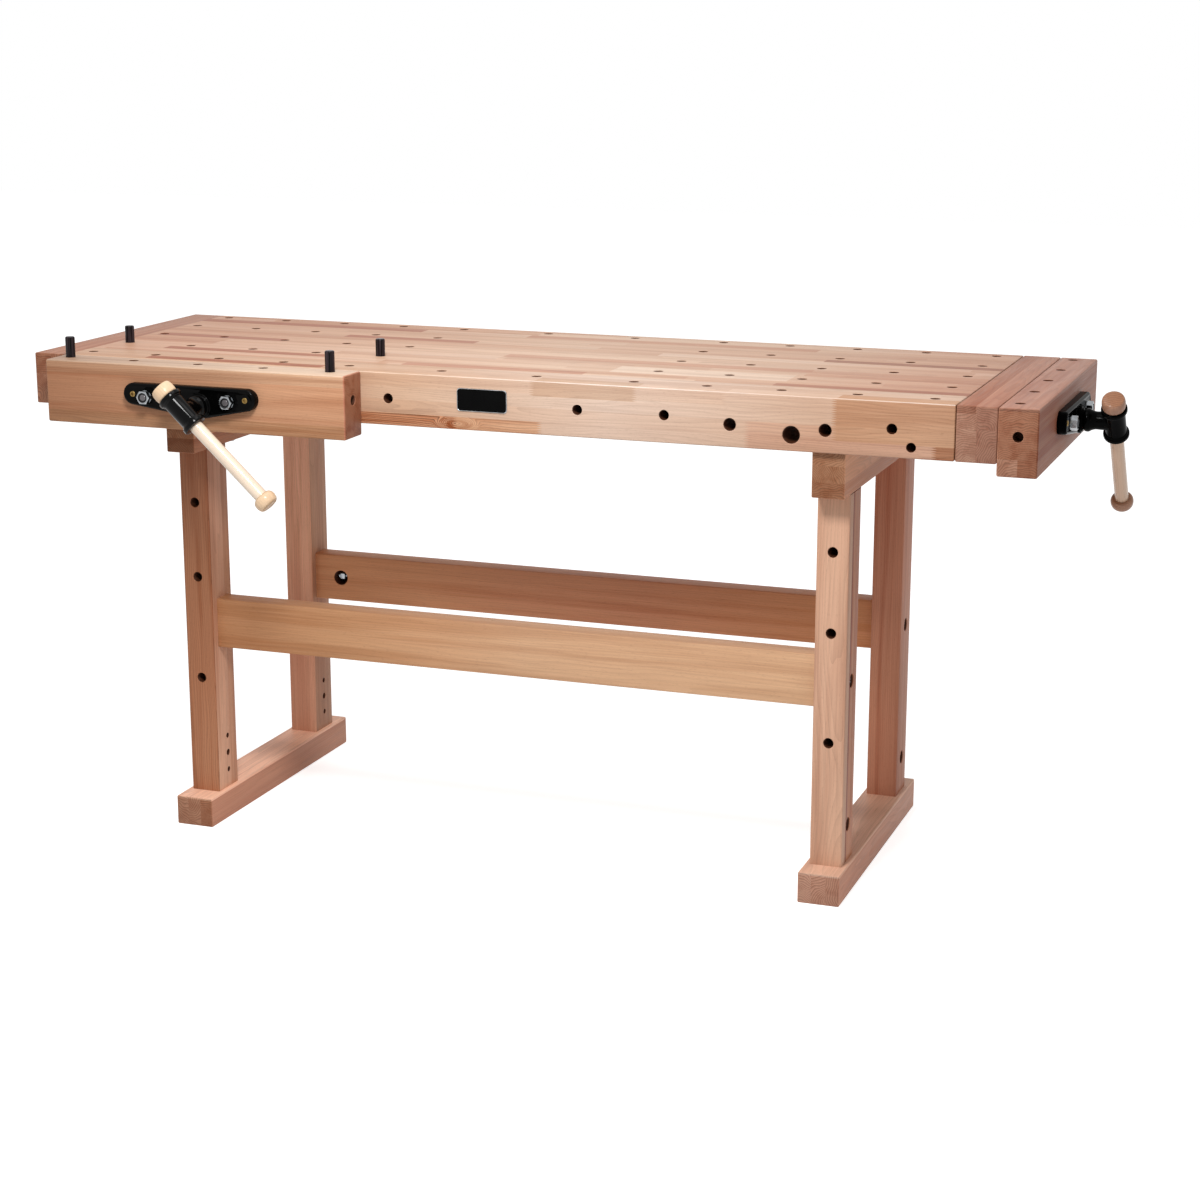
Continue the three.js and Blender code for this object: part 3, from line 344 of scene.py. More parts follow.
sink_size = node("ShaderNodeCombineXYZ", radius, radius, radius)
drills, sinks = [node("GeometryNodeInstanceOnPoints", {"Points": parted, "Instance": tool, "Rotation": turn,
                                                       "Scale": size})
                 for tool, size in ((lowered, drill_size), (lifted(sink, below), sink_size))]
bored = node("GeometryNodeMeshBoolean", parted.outputs[1], drills, operation="DIFFERENCE", solver="MANIFOLD")
feed(bored, {1: sinks})
end_tree(bored, given["Finish"], "bored", given["Wall"])

# Bored walls are rough and dull, without glue lines; their dark brown is painted shade inside the holes
one_piece = partial(beech, grain=2, low=(-9, -9, -9), stave=(5.0, 5.0), length=40.0)
bore_wall_painted_shade = one_piece("bored_beech", tones=[(0.0, "#553427"), (1.0, "#5f3d2e")], gloss=(0.6, 0.75))


def settle(piece, modifier):
    """Keeps what the modifier makes of the piece as a plain mesh, and takes the modifier away."""
    plain = bpy.data.meshes.new_from_object(piece.evaluated_get(bpy.context.evaluated_depsgraph_get()))
    piece.modifiers.remove(modifier)
    piece.data = plain


def run_tree(piece, tree, crease, **values):
    """Runs a node tree on the piece with its inputs set by identifier."""
    modifier = piece.modifiers.new(tree.name, "NODES")
    modifier.node_group = tree
    sockets = {item.name: item.identifier for item in tree.interface.items_tree if item.in_out == "INPUT"}
    for label, value in values.items():
        modifier[sockets[label]] = value
    settle(piece, modifier)
    smooth(piece.data, crease)
    return piece


def bore(piece, holes, flare=0.09):
    """Bores round holes into a board: each has its mouth, the way out of it, a diameter and a depth."""
    material = piece.data.materials[0]
    mesh = bmesh.new()
    mesh.from_mesh(piece.data)
    radius = mesh.verts.layers.float.new("bore_radius")
    depth = mesh.verts.layers.float.new("bore_depth")
    outward = mesh.verts.layers.float_vector.new("bore_outward")
    for mouth, way, diameter, deep in holes:
        mark = mesh.verts.new(mouth)
        mark[radius] = diameter / 2
        mark[depth] = deep
        mark[outward] = way
    mesh.to_mesh(piece.data)
    mesh.free()
    return run_tree(piece, bored_holes, 16, Sides=40, Flare=flare, Finish=material, Wall=bore_wall_painted_shade)


post_tones = {"left_front": [(0.0, "#ca9575"), (1.0, "#e1b195")],
              "left_back": [(0.0, "#be8d72"), (1.0, "#d7ad91")],
              "right_front": [(0.0, "#bd8f74"), (1.0, "#cfa68c")],
              "right_back": [(0.0, "#b8795d"), (1.0, "#cd967d")]}
# Painted shade along each post by height above the foot: the left front post darker towards its top, under
# the jaw, the back posts darker towards their feet
post_painted_shade = {"left_front": [(0.06, "#ffffff"), (0.25, "#ede6e2"), (0.44, "#e3dedb"), (0.64, "#e7e2e3")],
              "left_back": [(0.06, "#e2ddda"), (0.25, "#e6dad4"), (0.44, "#fffdf9"), (0.64, "#ffffff")],
              "right_front": None,
              "right_back": [(0.06, "#e6e2df"), (0.25, "#ebebe8"), (0.44, "#ffffff"), (0.64, "#fffdfd")]}
# Painted light and shade on the left posts: a dark 3 mm facing on the left front post's front, whose paler
# tones light its side, and a pale 3 mm facing on the left back post's front; the right front post's strips
# are laminations
post_boards_and_painted_faces = {"left_front": [(-9, 0.003, "#b07959", 0.2)], "left_back": [(-9, 0.003, "#eab294", 0.0)],
               "right_front": [(0.024, 9, "#b57856", 0.1), (0.024, 0.034, "#955a40", 0.1)], "right_back": []}
for side, middle in trestle_x.items():
    out = outwards[side]
    for row, y in post_y.items():
        post = f"{side}_{row}"
        low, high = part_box(f"{post}_post")
        low.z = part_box(f"{side}_foot")[1].z
        high.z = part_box(f"{side}_bearer")[0].z
        boards = [(Vector((-9, low.y + near, -9)), Vector((9, low.y + far, 9)), tone, wild)
                  for near, far, tone, wild in post_boards_and_painted_faces[post]]
        wood = beech(f"oiled_beech_{post}_post", 2, low, (0.08, 0.027), post_tones[post], length=3.0,
                     seed=3 * len(side) + len(row), blocks=boards, painted_shade=post_painted_shade[post])
        outer, inner = middle + out * post_half, middle - out * post_half
        holes = []
        if row == "front":
            holes += [(at(middle, post_front, z), (0, -1, 0), peg_bore, peg_deep) for z in peg_heights]
        for z in (bolt_height, spare_height):
            for diameter, deep in ((counterbore, counterbore_deep), (bolt_bore, post_through)):
                holes.append((at(outer, y + bolt_off, z), (out, 0, 0), diameter, deep))
        for rise in (0, -dowel_apart, dowel_apart):
            diameter, deep = (dowel_bore, dowel_deep) if rise else (bolt_bore, spare_deep)
            holes.append((at(inner, y + bolt_off, spare_height + rise), (-out, 0, 0), diameter, deep))
        stave = board(f"{post}_post_stave", low, high, wood, square=("-z", "+z"))
        stand_for(bore(stave, holes), f"{post}_post")

# Bearers: a beech board on edge across each pair of posts, which carries the top.
# It is bolted up into the beams; its ends show in front and behind.
bearer_tones = {"left": [(0.0, "#b2795c"), (0.5, "#cc9372"), (1.0, "#e1a885")],
                "right": [(0.0, "#c78c6b"), (0.5, "#d69c79"), (1.0, "#e2a985")]}
bearer_rich = {"left": 1.1, "right": 1.05}
for side in trestle_x:
    low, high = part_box(f"{side}_bearer")
    wood = beech(f"oiled_beech_{side}_bearer", 1, low, (0.08, 0.03), bearer_tones[side], length=2.0,
                 end_shade=0.47, seed=7 + len(side), end_rich=bearer_rich[side])
    stand_for(board(f"{side}_bearer_board", low, high, wood, square=("+z",)), f"{side}_bearer")

# Stretchers: two beech rails between the trestles, dowelled and drawn tight by bolts in their ends.
# Round access holes near the ends, on the faces that look inwards, take the washers and nuts.
rail_ends = (340.8, 1584.2)
access_bore, access_deep, access_from_end = 0.032, 0.038, 0.06
rail_tones = {"front": [(0.0, "#c79d7a"), (1.0, "#cea684")], "back": [(0.0, "#c98b64"), (1.0, "#d3986e")]}
# Painted shade along each rail: the front one darker towards its left end, the back one towards its right end
rail_painted_shade = {"front": [(0.08, "#dfc8b5"), (0.26, "#ecded0"), (0.46, "#f6ede5"), (0.66, "#faf9f9"),
                        (1.2, "#ffffff")],
              "back": [(0.08, "#ffffff"), (0.26, "#f9faff"), (0.46, "#f1eef8"), (0.76, "#eae3ed"),
                       (1.2, "#f1e8e1")]}
for row in post_y:
    low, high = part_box(f"{row}_stretcher")
    low.x, high.x = (at(x, 0, 0).x for x in rail_ends)
    wood = beech(f"oiled_beech_{row}_stretcher", 0, low, (0.026, 0.104), rail_tones[row], length=3.0,
                 seed=11 + len(row), figure=0.6, streaks=0.35, painted_shade=rail_painted_shade[row])
    face, way = (high.y, (0, 1, 0)) if row == "front" else (low.y, (0, -1, 0))
    holes = [(Vector((x, face, bolt_height / 1000)), way, access_bore, access_deep)
             for x in (low.x + access_from_end, high.x - access_from_end)]
    rail = board(f"{row}_stretcher_rail", low, high, wood, square=("-x", "+x"))
    stand_for(bore(rail, holes, flare=0.05), f"{row}_stretcher")

# Bench bolts: steel bolts with hexagon heads, bright zinc plated, one in each end of each stretcher.
# The heads sit in the posts' counterbores; washers and nuts are tightened in the access holes.
# Like bolts go up through the bearers into the top.


def lacquered(name, colour, roughness, metallic=0.0, grit=0.002, depth=0.0001, spread=0.08, specular=0.5,
              drawn=1.0, unevenness=0.15):
    """A smooth finish whose gloss and tone vary a little, with a faint texture of the grit, drawn upwards."""
    material, tree, shader = new_material(name)
    node = partial(add, tree)
    cloud_share = 0.06
    coords = node("ShaderNodeTexCoord").outputs["Object"]
    place = node("ShaderNodeVectorMath", coords, (1, 1, 1 / drawn), operation="MULTIPLY")
    grain = node("ShaderNodeTexNoise", place, {"Scale": 1 / grit, "Detail": 3.0})
    cloud = node("ShaderNodeTexNoise", place, {"Scale": cloud_share / grit, "Detail": 2.0})
    gloss = node("ShaderNodeMapRange", cloud, 0.3, 0.7, roughness - spread, roughness + spread)
    shade = node("ShaderNodeMapRange", cloud, 0.38, 0.62, 1 - unevenness, 1 + unevenness)
    tint = node("ShaderNodeHueSaturation", {"Value": shade, "Color": linear(colour)})
    bump = node("ShaderNodeBump", {"Strength": 0.3, "Distance": depth, "Height": grain})
    feed(shader, {"Base Color": tint, "Roughness": gloss, "Normal": bump, "Metallic": metallic,
                  "Specular IOR Level": specular})
    return material


# Zinc plating mirrors the studio in pale grey; the nylon ring of a lock nut is matt and nearly black
zinc = lacquered("bright_zinc_plating", "#9a9da0", 0.2, metallic=1.0, grit=0.0006)
insert_nylon = lacquered("black_nylon_insert", "#141314", 0.5, grit=0.001, specular=0.2)
hex_sizes = ("Across", "Height", "Washer Radius", "Washer Height", "Shank Radius", "Shank Behind",
             "Shank Ahead", "Countersink")
hex_fasteners, node, given = shape_tree("hex_fasteners",
                                        {"Places": "Geometry", **dict.fromkeys(hex_sizes, "Float"),
                                         "Finish": "Material", "Insert": "Material"})
# The prism's corners are cut back by a cone of 30 degrees
corner_share, crown_share, cone_slope = 0.57735, 0.47, 1.732
corner = node("ShaderNodeMath", given["Across"], corner_share, operation="MULTIPLY")
prism = node("GeometryNodeMeshCylinder", {"Vertices": 6, "Radius": corner, "Depth": given["Height"]})
half = node("ShaderNodeMath", given["Height"], 0.5, given["Washer Height"], operation="MULTIPLY_ADD")
crown = node("ShaderNodeMath", given["Across"], crown_share, operation="MULTIPLY")
skirt = node("ShaderNodeMath", given["Height"], cone_slope, crown, operation="MULTIPLY_ADD")
cone = node("GeometryNodeMeshCone", {"Vertices": 48, "Radius Top": crown, "Radius Bottom": skirt,
                                     "Depth": given["Height"]})
chamfered = node("GeometryNodeMeshBoolean", {1: lifted(prism, half)}, operation="INTERSECT",
                 solver="MANIFOLD")
feed(chamfered, {1: lifted(cone, given["Washer Height"])})
# A lock nut has a countersink with a nylon disc in it
sink_tall, disc_thick, disc_sunk = 0.004, 0.0008, 0.0017
top = node("ShaderNodeMath", given["Height"], given["Washer Height"], operation="ADD")
sink = node("GeometryNodeMeshCylinder", {"Vertices": 32, "Radius": given["Countersink"],
                                         "Depth": sink_tall})
tapped = node("GeometryNodeMeshBoolean", chamfered, lifted(sink, top), operation="DIFFERENCE",
              solver="MANIFOLD")
disc = node("GeometryNodeMeshCylinder", {"Vertices": 32, "Radius": given["Countersink"],
                                         "Depth": disc_thick})
nylon = node("GeometryNodeStoreNamedAttribute", disc, {"Name": "nylon", "Value": True},
             data_type="BOOLEAN", domain="FACE")
disc_height = node("ShaderNodeMath", top, disc_sunk, operation="SUBTRACT")
lock_nut = node("GeometryNodeJoinGeometry", tapped)
feed(lock_nut, {0: lifted(nylon, disc_height)})
is_nut = node("FunctionNodeCompare", given["Countersink"], 0.0, data_type="FLOAT", operation="GREATER_THAN")
head = node("GeometryNodeSwitch", is_nut, {"False": chamfered, "True": lock_nut}, input_type="GEOMETRY")
washer = node("GeometryNodeMeshCylinder", {"Vertices": 40, "Radius": given["Washer Radius"],
                                           "Depth": given["Washer Height"]})
half_washer = node("ShaderNodeMath", given["Washer Height"], 0.5, operation="MULTIPLY")
tip = node("ShaderNodeMath", top, given["Shank Ahead"], operation="ADD")
shank_length = node("ShaderNodeMath", tip, given["Shank Behind"], operation="ADD")
shank = node("GeometryNodeMeshCylinder", {"Vertices": 32, "Radius": given["Shank Radius"],
                                          "Depth": shank_length})
shank_middle = node("ShaderNodeMath", shank_length, -0.5, tip, operation="MULTIPLY_ADD")
fastener = node("GeometryNodeJoinGeometry", head)
feed(fastener, {0: lifted(washer, half_washer)})
feed(fastener, {0: lifted(shank, shank_middle)})
way = node("GeometryNodeInputNamedAttribute", {"Name": "way"}, data_type="FLOAT_VECTOR")
turn = node("FunctionNodeAlignRotationToVector", {"Vector": way}, axis="Z")
each = node("GeometryNodeInstanceOnPoints", {"Points": given["Places"], "Instance": fastener,
                                             "Rotation": turn})
end_tree(each, given["Finish"], "nylon", given["Insert"])


def fasteners(name, places, across, height, washer=0.001, washer_height=0.0002, shank=0.001, behind=0.001,
              ahead=-0.001, countersink=0.0):
    """Zinc plated hexagon heads or nuts at places with the way that each one faces; sizes in metres."""
    mesh = bmesh.new()
    way = mesh.verts.layers.float_vector.new("way")
    for place, facing in places:
        mesh.verts.new(place)[way] = facing
    sizes = zip(hex_sizes, (across, height, washer / 2, washer_height, shank / 2, behind, ahead, countersink))
    piece = piece_of(name, mesh, zinc)
    return run_tree(piece, hex_fasteners, 25, Finish=zinc, Insert=insert_nylon, **dict(sizes))


bolt_across, head_seat = 0.019, post_half - 1000 * counterbore_deep
bearer_underside, top_bolt_rows = 767.6, (215, 425)
heads, nuts, ends = [], [], []
for side, middle in trestle_x.items():
    out = outwards[side]
    for row, y in post_y.items():
        ends.append(f"{side}_{row}")
        heads.append((at(middle + out * head_seat, y + bolt_off, bolt_height), (out, 0, 0)))
        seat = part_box(f"{side}_{row}_nut")[1 if side == "right" else 0].x
        nuts.append((Vector((seat, *at(0, y + bolt_off, bolt_height).yz)), (-out, 0, 0)))
bolts = fasteners("bench_bolts", heads, bolt_across, 0.008, shank=0.012, behind=0.11)
stand_for(bolts, *[f"{end}_bolt" for end in ends])
bolt_nuts = fasteners("bench_bolt_nuts", nuts, bolt_across, 0.0095, washer=0.024, washer_height=0.003,
                      shank=0.0118, behind=0.002, ahead=0.003)
stand_for(bolt_nuts, *[f"{end}_nut" for end in ends])
under_bearers = [(at(middle, y, bearer_underside), (0, 0, -1)) for middle in trestle_x.values()
                 for y in top_bolt_rows]
top_bolts = fasteners("top_bolts", under_bearers, 0.017, 0.007, washer=0.026, washer_height=0.002)
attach(top_bolts, "bench")

# Bench top: a panel of beech staves between two deep beams, which are laminated from four boards each.
# Five rows of round holes take the dogs, all but the outer two broken in the middle; the front edge has
# holes for support pegs and a second vise.
dog_bore, top_height, block_foot, block_tall = 0.019, 952, 840, 120
hole_pitch, row_pitch, columns_in_group = 140, 139, 5
left_columns = [100 + hole_pitch * k for k in range(columns_in_group)]
right_columns = [1235 + hole_pitch * k for k in range(columns_in_group)]
middle_gap = right_columns[0] - left_columns[-1]
middle_columns = [round(left_columns[-1] + middle_gap * k / 3, 3) for k in (1, 2)]
columns = left_columns + middle_columns + right_columns
rows = [55 + row_pitch * k for k in range(5)]
rod_sides, screw_side, screw_drop = (-0.091, 0.085), 0.023, 0.0118
rod_level, rod_bore, screw_bore = 893.3, 0.0234, 0.032


def of_size(x, y, z, long, wide, tall, colour, wild=0.0):
    """A block of another tone that starts at a place in millimetres."""
    return at(x, y, z), at(x + long, y + wide, z + tall), colour, wild


def dog_holes(row, bottom, places):
    """Through holes of one row, eased above and below."""
    past_bottom, ease_deep = 8, 0.004
    through = (top_height + past_bottom) / 1000 - bottom
    above = [(at(x, row, top_height), (0, 0, 1), dog_bore, through) for x in places]
    return above + [(Vector((*at(x, row, 0).xy, bottom)), (0, 0, -1), dog_bore, ease_deep) for x in places]


def vise_bores(middle):
    """Holes for a vise's rods and screw: place along the wood, height and diameter."""
    screw = (middle + 1000 * screw_side, rod_level - 1000 * screw_drop, screw_bore)
    left, right = [(middle + 1000 * side, rod_level, rod_bore) for side in rod_sides]
    return left, screw, right


top_tones = [(0.0, "#bc937c"), (0.15, "#c39f87"), (0.4, "#c8a891"), (0.75, "#cdaf98"), (1.0, "#d2b7a3")]
# Painted light and shade along the top: lightest about a metre from its left end, darker towards both ends
top_painted_shade = [(0.15, "#f8e2d7"), (0.6, "#fef3ec"), (1.03, "#ffffff"), (1.47, "#f6f1ee"), (1.76, "#ead7cf")]
top_staves = [(240, 13, 378, 31, "#a16e57"), (205, 143, 357, 32, "#a4735b"), (90, 317, 290, 32, "#aa7d68"),
              (470, 420, 292, 34, "#ae816c"), (745, 102, 370, 32, "#b48871"), (1150, 154, 345, 77, "#d4bca8"),
              (1484, 97, 360, 34, "#ac816b"), (1496, 415, 348, 30, "#a17964"), (900, 232, 420, 36, "#c2a089"),
              (72, 540, 520, 40, "#ac7f6a")]
top_blocks = [of_size(x, y, block_foot, long, wide, block_tall, tone)
              for x, y, long, wide, tone in top_staves]
beam_tones = [(0.0, "#c4a895"), (1.0, "#cdb5a4")]
# Painted shade along the front beam: darker on both sides of a point 1.2 m from its left end
beam_painted_shade = [(0.2, "#f9e5d3"), (0.79, "#f6e7d7"), (1.2, "#ffffff"), (1.6, "#efe3d8"), (1.8, "#f9f1ea")]
beam_boards = [(60, 840, 846, 36, "#c59274", 1.0), (906, 840, 169, 36, "#caa082", 0.35),
               (1060, 924, 200, 30, "#ba9c86", 0.0), (1472, 876, 160, 25, "#c6a490", 0.1),
               (1632, 876, 220, 80, "#bb967b", 0.05), (1472, 840, 350, 36, "#bf9b87", 0.1),
               (1812, 840, 40, 36, "#a5775c", 0.2)]
beam_blocks = [of_size(x, -1, z, long, 42, tall, tone, wild) for x, z, long, tall, tone, wild in beam_boards]
# Painted highlight: a paler strip along the front beam's top front edge, where the eased edge catches the
# light
painted_edge_highlight = of_size(60, -1, 950.2, 1800, 3.2, 6, "#dbcabe")
left_seam, right_seam, right_end, seam_gap = 72, 1844, 1916, 0.0012
front_low, front_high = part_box("front_beam")
back_low, back_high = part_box("back_beam")
panel_low, panel_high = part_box("top_panel")
corner = Vector((left_end, front_low.y, front_low.z))
stave = (0.0385, 0.0256)
top_wood = beech("oiled_beech_top", 0, corner, stave, top_tones, length=0.62, fingers=0.011, seed=2.0,
                 streaks=0.3, blocks=top_blocks, painted_shade=top_painted_shade)
beam_wood = beech("oiled_beech_beam", 0, corner, stave, beam_tones, length=0.9, fingers=0.011, seed=5.0,
                  streaks=0.3, blocks=[*beam_blocks, painted_edge_highlight, *top_blocks[:3]], knot=at(906, 0, 862),
                  painted_shade=beam_painted_shade)
for low, high in ((front_low, front_high), (back_low, back_high), (panel_low, panel_high)):
    low.x = at(left_seam, 0, 0).x
    high.x = at(right_seam, 0, 0).x - seam_gap
panel_low.y, panel_high.y = front_high.y, back_low.y
panel_columns = left_columns + right_columns
panel_holes = [hole for row in rows[1:4] for hole in dog_holes(row, panel_low.z, panel_columns)]
panel = board("top_panel_staves", panel_low, panel_high, top_wood, square=("-x", "-y", "+y"))
stand_for(bore(panel, panel_holes, flare=0.06), "top_panel")
peg_places, peg_level, small_peg = (765, 1144, 1311, 1731), 903, (1766, 872, 0.0174)
edge_deep, beam_deep = 0.06, 0.102
front_vise_x, second_vise_x, end_vise_y = 390, 1526, 320
pegs = [(x, peg_level, dog_bore) for x in peg_places] + [small_peg]
edge_holes = [(at(x, 0, z), (0, -1, 0), diameter, edge_deep) for x, z, diameter in pegs]
edge_holes += [(at(x, 0, z), (0, -1, 0), diameter, beam_deep) for middle in (front_vise_x, second_vise_x)
               for x, z, diameter in vise_bores(middle)]
front_beam = board("front_beam_boards", front_low, front_high, beam_wood, ease=0.0032, square=("-x", "+y"))
stand_for(bore(front_beam, dog_holes(rows[0], front_low.z, columns) + edge_holes, flare=0.06), "front_beam")
back_beam = board("back_beam_boards", back_low, back_high, top_wood, square=("-x", "-y"))
stand_for(bore(back_beam, dog_holes(rows[4], back_low.z, columns), flare=0.06), "back_beam")

# End caps: a beech block across each end of the top, tongued into the beams and glued.
# Their fronts are end grain in blocks of differing tone; the right one is bored for the end vise.
cap_tones = [(0.0, "#ac7a62"), (1.0, "#bb8a72")]
right_cap_blocks = [of_size(1840, -1, 938, 38, 700, 20, "#9a6750"),
                    of_size(1840, -1, 840, 40, 700, 98, "#b78870"),
                    of_size(1880, -1, 840, 40, 700, 120, "#a77660")]
cap_through = 0.074
caps = {"left": (0, left_seam, (), 1.07, ("+x",)),
        "right": (right_seam, right_end, right_cap_blocks, 0.97, ())}
for side, (start, end, blocks, end_rich, glued) in caps.items():
    low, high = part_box(f"{side}_end_cap")
    low.x, high.x = at(start, 0, 0).x, at(end, 0, 0).x
    wood = beech(f"oiled_beech_{side}_end_cap", 1, low, (0.0375, 0.06), cap_tones, length=2.0, end_shade=0.8,
                 seed=17 + len(side), blocks=blocks, end_rich=end_rich)
    cap = board(f"{side}_end_cap_block", low, high, wood, square=glued)
    if side == "right":
        bore(cap, [(at(right_end, y, z), (1, 0, 0), diameter, cap_through)
                   for y, z, diameter in vise_bores(end_vise_y)], flare=0.04)
    stand_for(cap, f"{side}_end_cap")

# Name plate: a thin black plate with a bright rim on the front edge, left bare.
# Stamped from sheet metal, lacquered satin black, its rim polished back.


def skin(mesh, rings, capped=True):
    """Closes a body over rings of points, each joined to the next; gives the faces of its sides."""
    sides = []
    for lower, upper in zip(rings, rings[1:]):
        for k in range(max(len(lower), len(upper))):
            corners = (lower[k % len(lower)], lower[(k + 1) % len(lower)],
                       upper[(k + 1) % len(upper)], upper[k % len(upper)])
            corners = list(dict.fromkeys(corners))
            if len(corners) > 2:
                sides.append(mesh.faces.new(corners))
    if capped:
        mesh.faces.new(rings[-1])
        mesh.faces.new(list(reversed(rings[0])))
    bmesh.ops.recalc_face_normals(mesh, faces=mesh.faces)
    return sides


# Satin lacquer is an even soft black; the polished rim catches the light as a thin line
badge_black = lacquered("satin_black_lacquer", "#040404", 0.3, grit=0.0015, specular=0.04)
badge_rim = lacquered("polished_aluminium", "#a3a5a7", 0.25, metallic=1.0, grit=0.0008)
low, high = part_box("badge")
middle, half = (low + high) / 2, (high - low) / 2
corner_radius, corner_steps = 0.006, 6
outline = []
for side, level, first in ((1, -1, 270), (1, 1, 0), (-1, 1, 90), (-1, -1, 180)):
    for angle in (math.radians(first + 90 * k / corner_steps) for k in range(corner_steps + 1)):
        outline.append((side * (half.x - corner_radius) + corner_radius * math.cos(angle),
                        level * (half.z - corner_radius) + corner_radius * math.sin(angle)))
mesh = bmesh.new()
rim = ((0.0, high.y), (0.0, low.y + 0.0005), (0.0004, low.y), (0.0009, low.y), (0.0012, low.y + 0.0003))
rings = [[mesh.verts.new((middle.x + x * (1 - inset / half.x), y, middle.z + z * (1 - inset / half.z)))
          for x, z in outline] for inset, y in rim]
for face in skin(mesh, rings):
    face.material_index = 1
badge = piece_of("name_plate", mesh, badge_black)
badge.data.materials.append(badge_rim)
stand_for(badge, "badge")

# Vise jaws: thick beech chops, glued up from boards, one along the front and one across the right end.
# Each has a row of dog holes, a peg hole in one end and bores for the vise's rods and screw.
jaw_dog_deep, end_dog_deep, jaw_peg_level, jaw_peg_deep, jaw_through = 0.123, 0.05, 902, 0.035, 0.073
jaw_row, jaw_peg_y, jaw_end, jaw_gap = -28.5, -36.25, 710, 0.5
end_jaw_row, end_jaw_peg_x = 1944.5, 1952.25
jaw_tones = [(0.0, "#b48463"), (1.0, "#c09070")]
# Painted shade along the front jaw: darker towards its left end
jaw_painted_shade = [(0.0, "#e2d7d1"), (0.45, "#ffffff")]
# The front jaw's two upper bands are paler as painted highlight on its rounded top edge and top face; its
# lower band and end strip are boards of another tone
jaw_tone_bands = [(60, 820, 660, 36, "#b18564", 0.1), (60, 929, 660, 20.5, "#c39a7b", 0.1),
              (60, 949.5, 660, 6, "#cbaf97", 0.0), (707, 820, 10, 140, "#c0876d", 0.0)]
jaw_blocks = [of_size(x, -80, z, long, 90, tall, tone, wild) for x, z, long, tall, tone, wild in jaw_tone_bands]
low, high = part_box("front_jaw")
wood = beech("oiled_beech_front_jaw", 0, low, (0.08, 0.094), jaw_tones, length=3.0, end_shade=0.62, seed=31.0,
             end_rich=1.1, painted_shade=jaw_painted_shade, blocks=jaw_blocks)
jaw_holes = [(at(x, jaw_row, top_height), (0, 0, 1), dog_bore, jaw_dog_deep) for x in left_columns]
jaw_holes += [(at(jaw_end, jaw_peg_y, jaw_peg_level), (1, 0, 0), dog_bore, jaw_peg_deep)]
jaw_holes += [(at(x, -jaw_gap, z), (0, 1, 0), diameter, jaw_through)
              for x, z, diameter in vise_bores(front_vise_x)]
stand_for(bore(board("front_jaw_chop", low, high, wood, ease=0.0035), jaw_holes, flare=0.06), "front_jaw")
jaw_tones = [(0.0, "#b17d67"), (1.0, "#bf8c74")]
jaw_tone_bands = [(1910, 946, 90, 10, "#a87b68", 0.0), (1910, 820, 43, 42, "#d1a28b", 0.0),
              (1953, 820, 43, 42, "#b47f68", 0.0), (1985.5, 820, 6, 126, "#9b6853", 0.1)]
jaw_blocks = [of_size(x, -1, z, long, 700, tall, tone, wild) for x, z, long, tall, tone, wild in jaw_tone_bands]
low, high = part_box("end_jaw")
wood = beech("oiled_beech_end_jaw", 1, low, (0.08, 0.15), jaw_tones, length=3.0, end_shade=0.6, seed=37.0,
             blocks=jaw_blocks)
jaw_holes = [(at(end_jaw_row, y, top_height), (0, 0, 1), dog_bore, end_dog_deep) for y in rows]
jaw_holes += [(at(end_jaw_peg_x, 0, jaw_peg_level), (0, -1, 0), dog_bore, jaw_peg_deep)]
jaw_holes += [(at(right_end + jaw_gap, y, z), (-1, 0, 0), diameter, jaw_through)
              for y, z, diameter in vise_bores(end_vise_y)]
stand_for(bore(board("end_jaw_chop", low, high, wood, ease=0.0035), jaw_holes, flare=0.06), "end_jaw")

# Vise plates: cast iron, painted gloss black, screwed to the jaw's outer face with two brass screws.
# A long plate with rounded ends drops in the middle to the raised hub that the screw turns in.
# Gloss enamel is a deep black with small sharp lights on its edges.
# The four copies are one enamel with different reflection levels: raised on the heads as painted highlight,
# lowered on the end vise as painted shade
enamel = {name: lacquered(f"gloss_black_enamel_{name}", "#030303", 0.1, grit=0.004, depth=0.0002, spread=0.02,
                          specular=level)
          for name, level in (("front", 0.06), ("end", 0.006), ("front_tee", 0.11), ("end_tee", 0.02))}
jaw_faces = {"front": (at(front_vise_x, -72, rod_level), Matrix(((1, 0, 0), (0, 0, -1), (0, 1, 0)))),
             "end": (at(1988, end_vise_y, rod_level), Matrix(((0, 0, 1), (1, 0, 0), (0, 1, 0))))}
leans = {"front": math.radians(46.8), "end": math.radians(40)}
vises = {name: Matrix.Translation(place) @ facing.to_4x4() for name, (place, facing) in jaw_faces.items()}
hub_place = Matrix.Translation((screw_side, -screw_drop, 0))
spindles = {name: place @ hub_place @ Matrix.Rotation(leans[name], 4, "Z") for name, place in vises.items()}


def rounded(profile, radius, steps=4):
    """The profile with each inner corner turned into a short curve."""
    points = [Vector(p) for p in profile]
    result = [points[0]]
    for before, corner, after in zip(points, points[1:], points[2:]):
        near = corner + (before - corner).normalized() * min(radius, (before - corner).length / 2.1)
        far = corner + (after - corner).normalized() * min(radius, (after - corner).length / 2.1)
        for t in (k / steps for k in range(steps + 1)):
            result.append(near * (1 - t) ** 2 + corner * 2 * t * (1 - t) + far * t ** 2)
    return [tuple(p) for p in result + [points[-1]]]


def turned(profile, sides=48):
    """A solid of revolution about z from radii and heights that start and end on the axis or close up."""
    mesh = bmesh.new()
    rings = []
    for radius, height in profile:
        angles = [math.tau * k / sides for k in range(sides if radius > 1e-6 else 1)]
        rings.append([mesh.verts.new((radius * math.cos(a), radius * math.sin(a), height)) for a in angles])
    if len(rings[0]) > 1:
        rings.append(rings[0])
    skin(mesh, rings, capped=False)
    return mesh


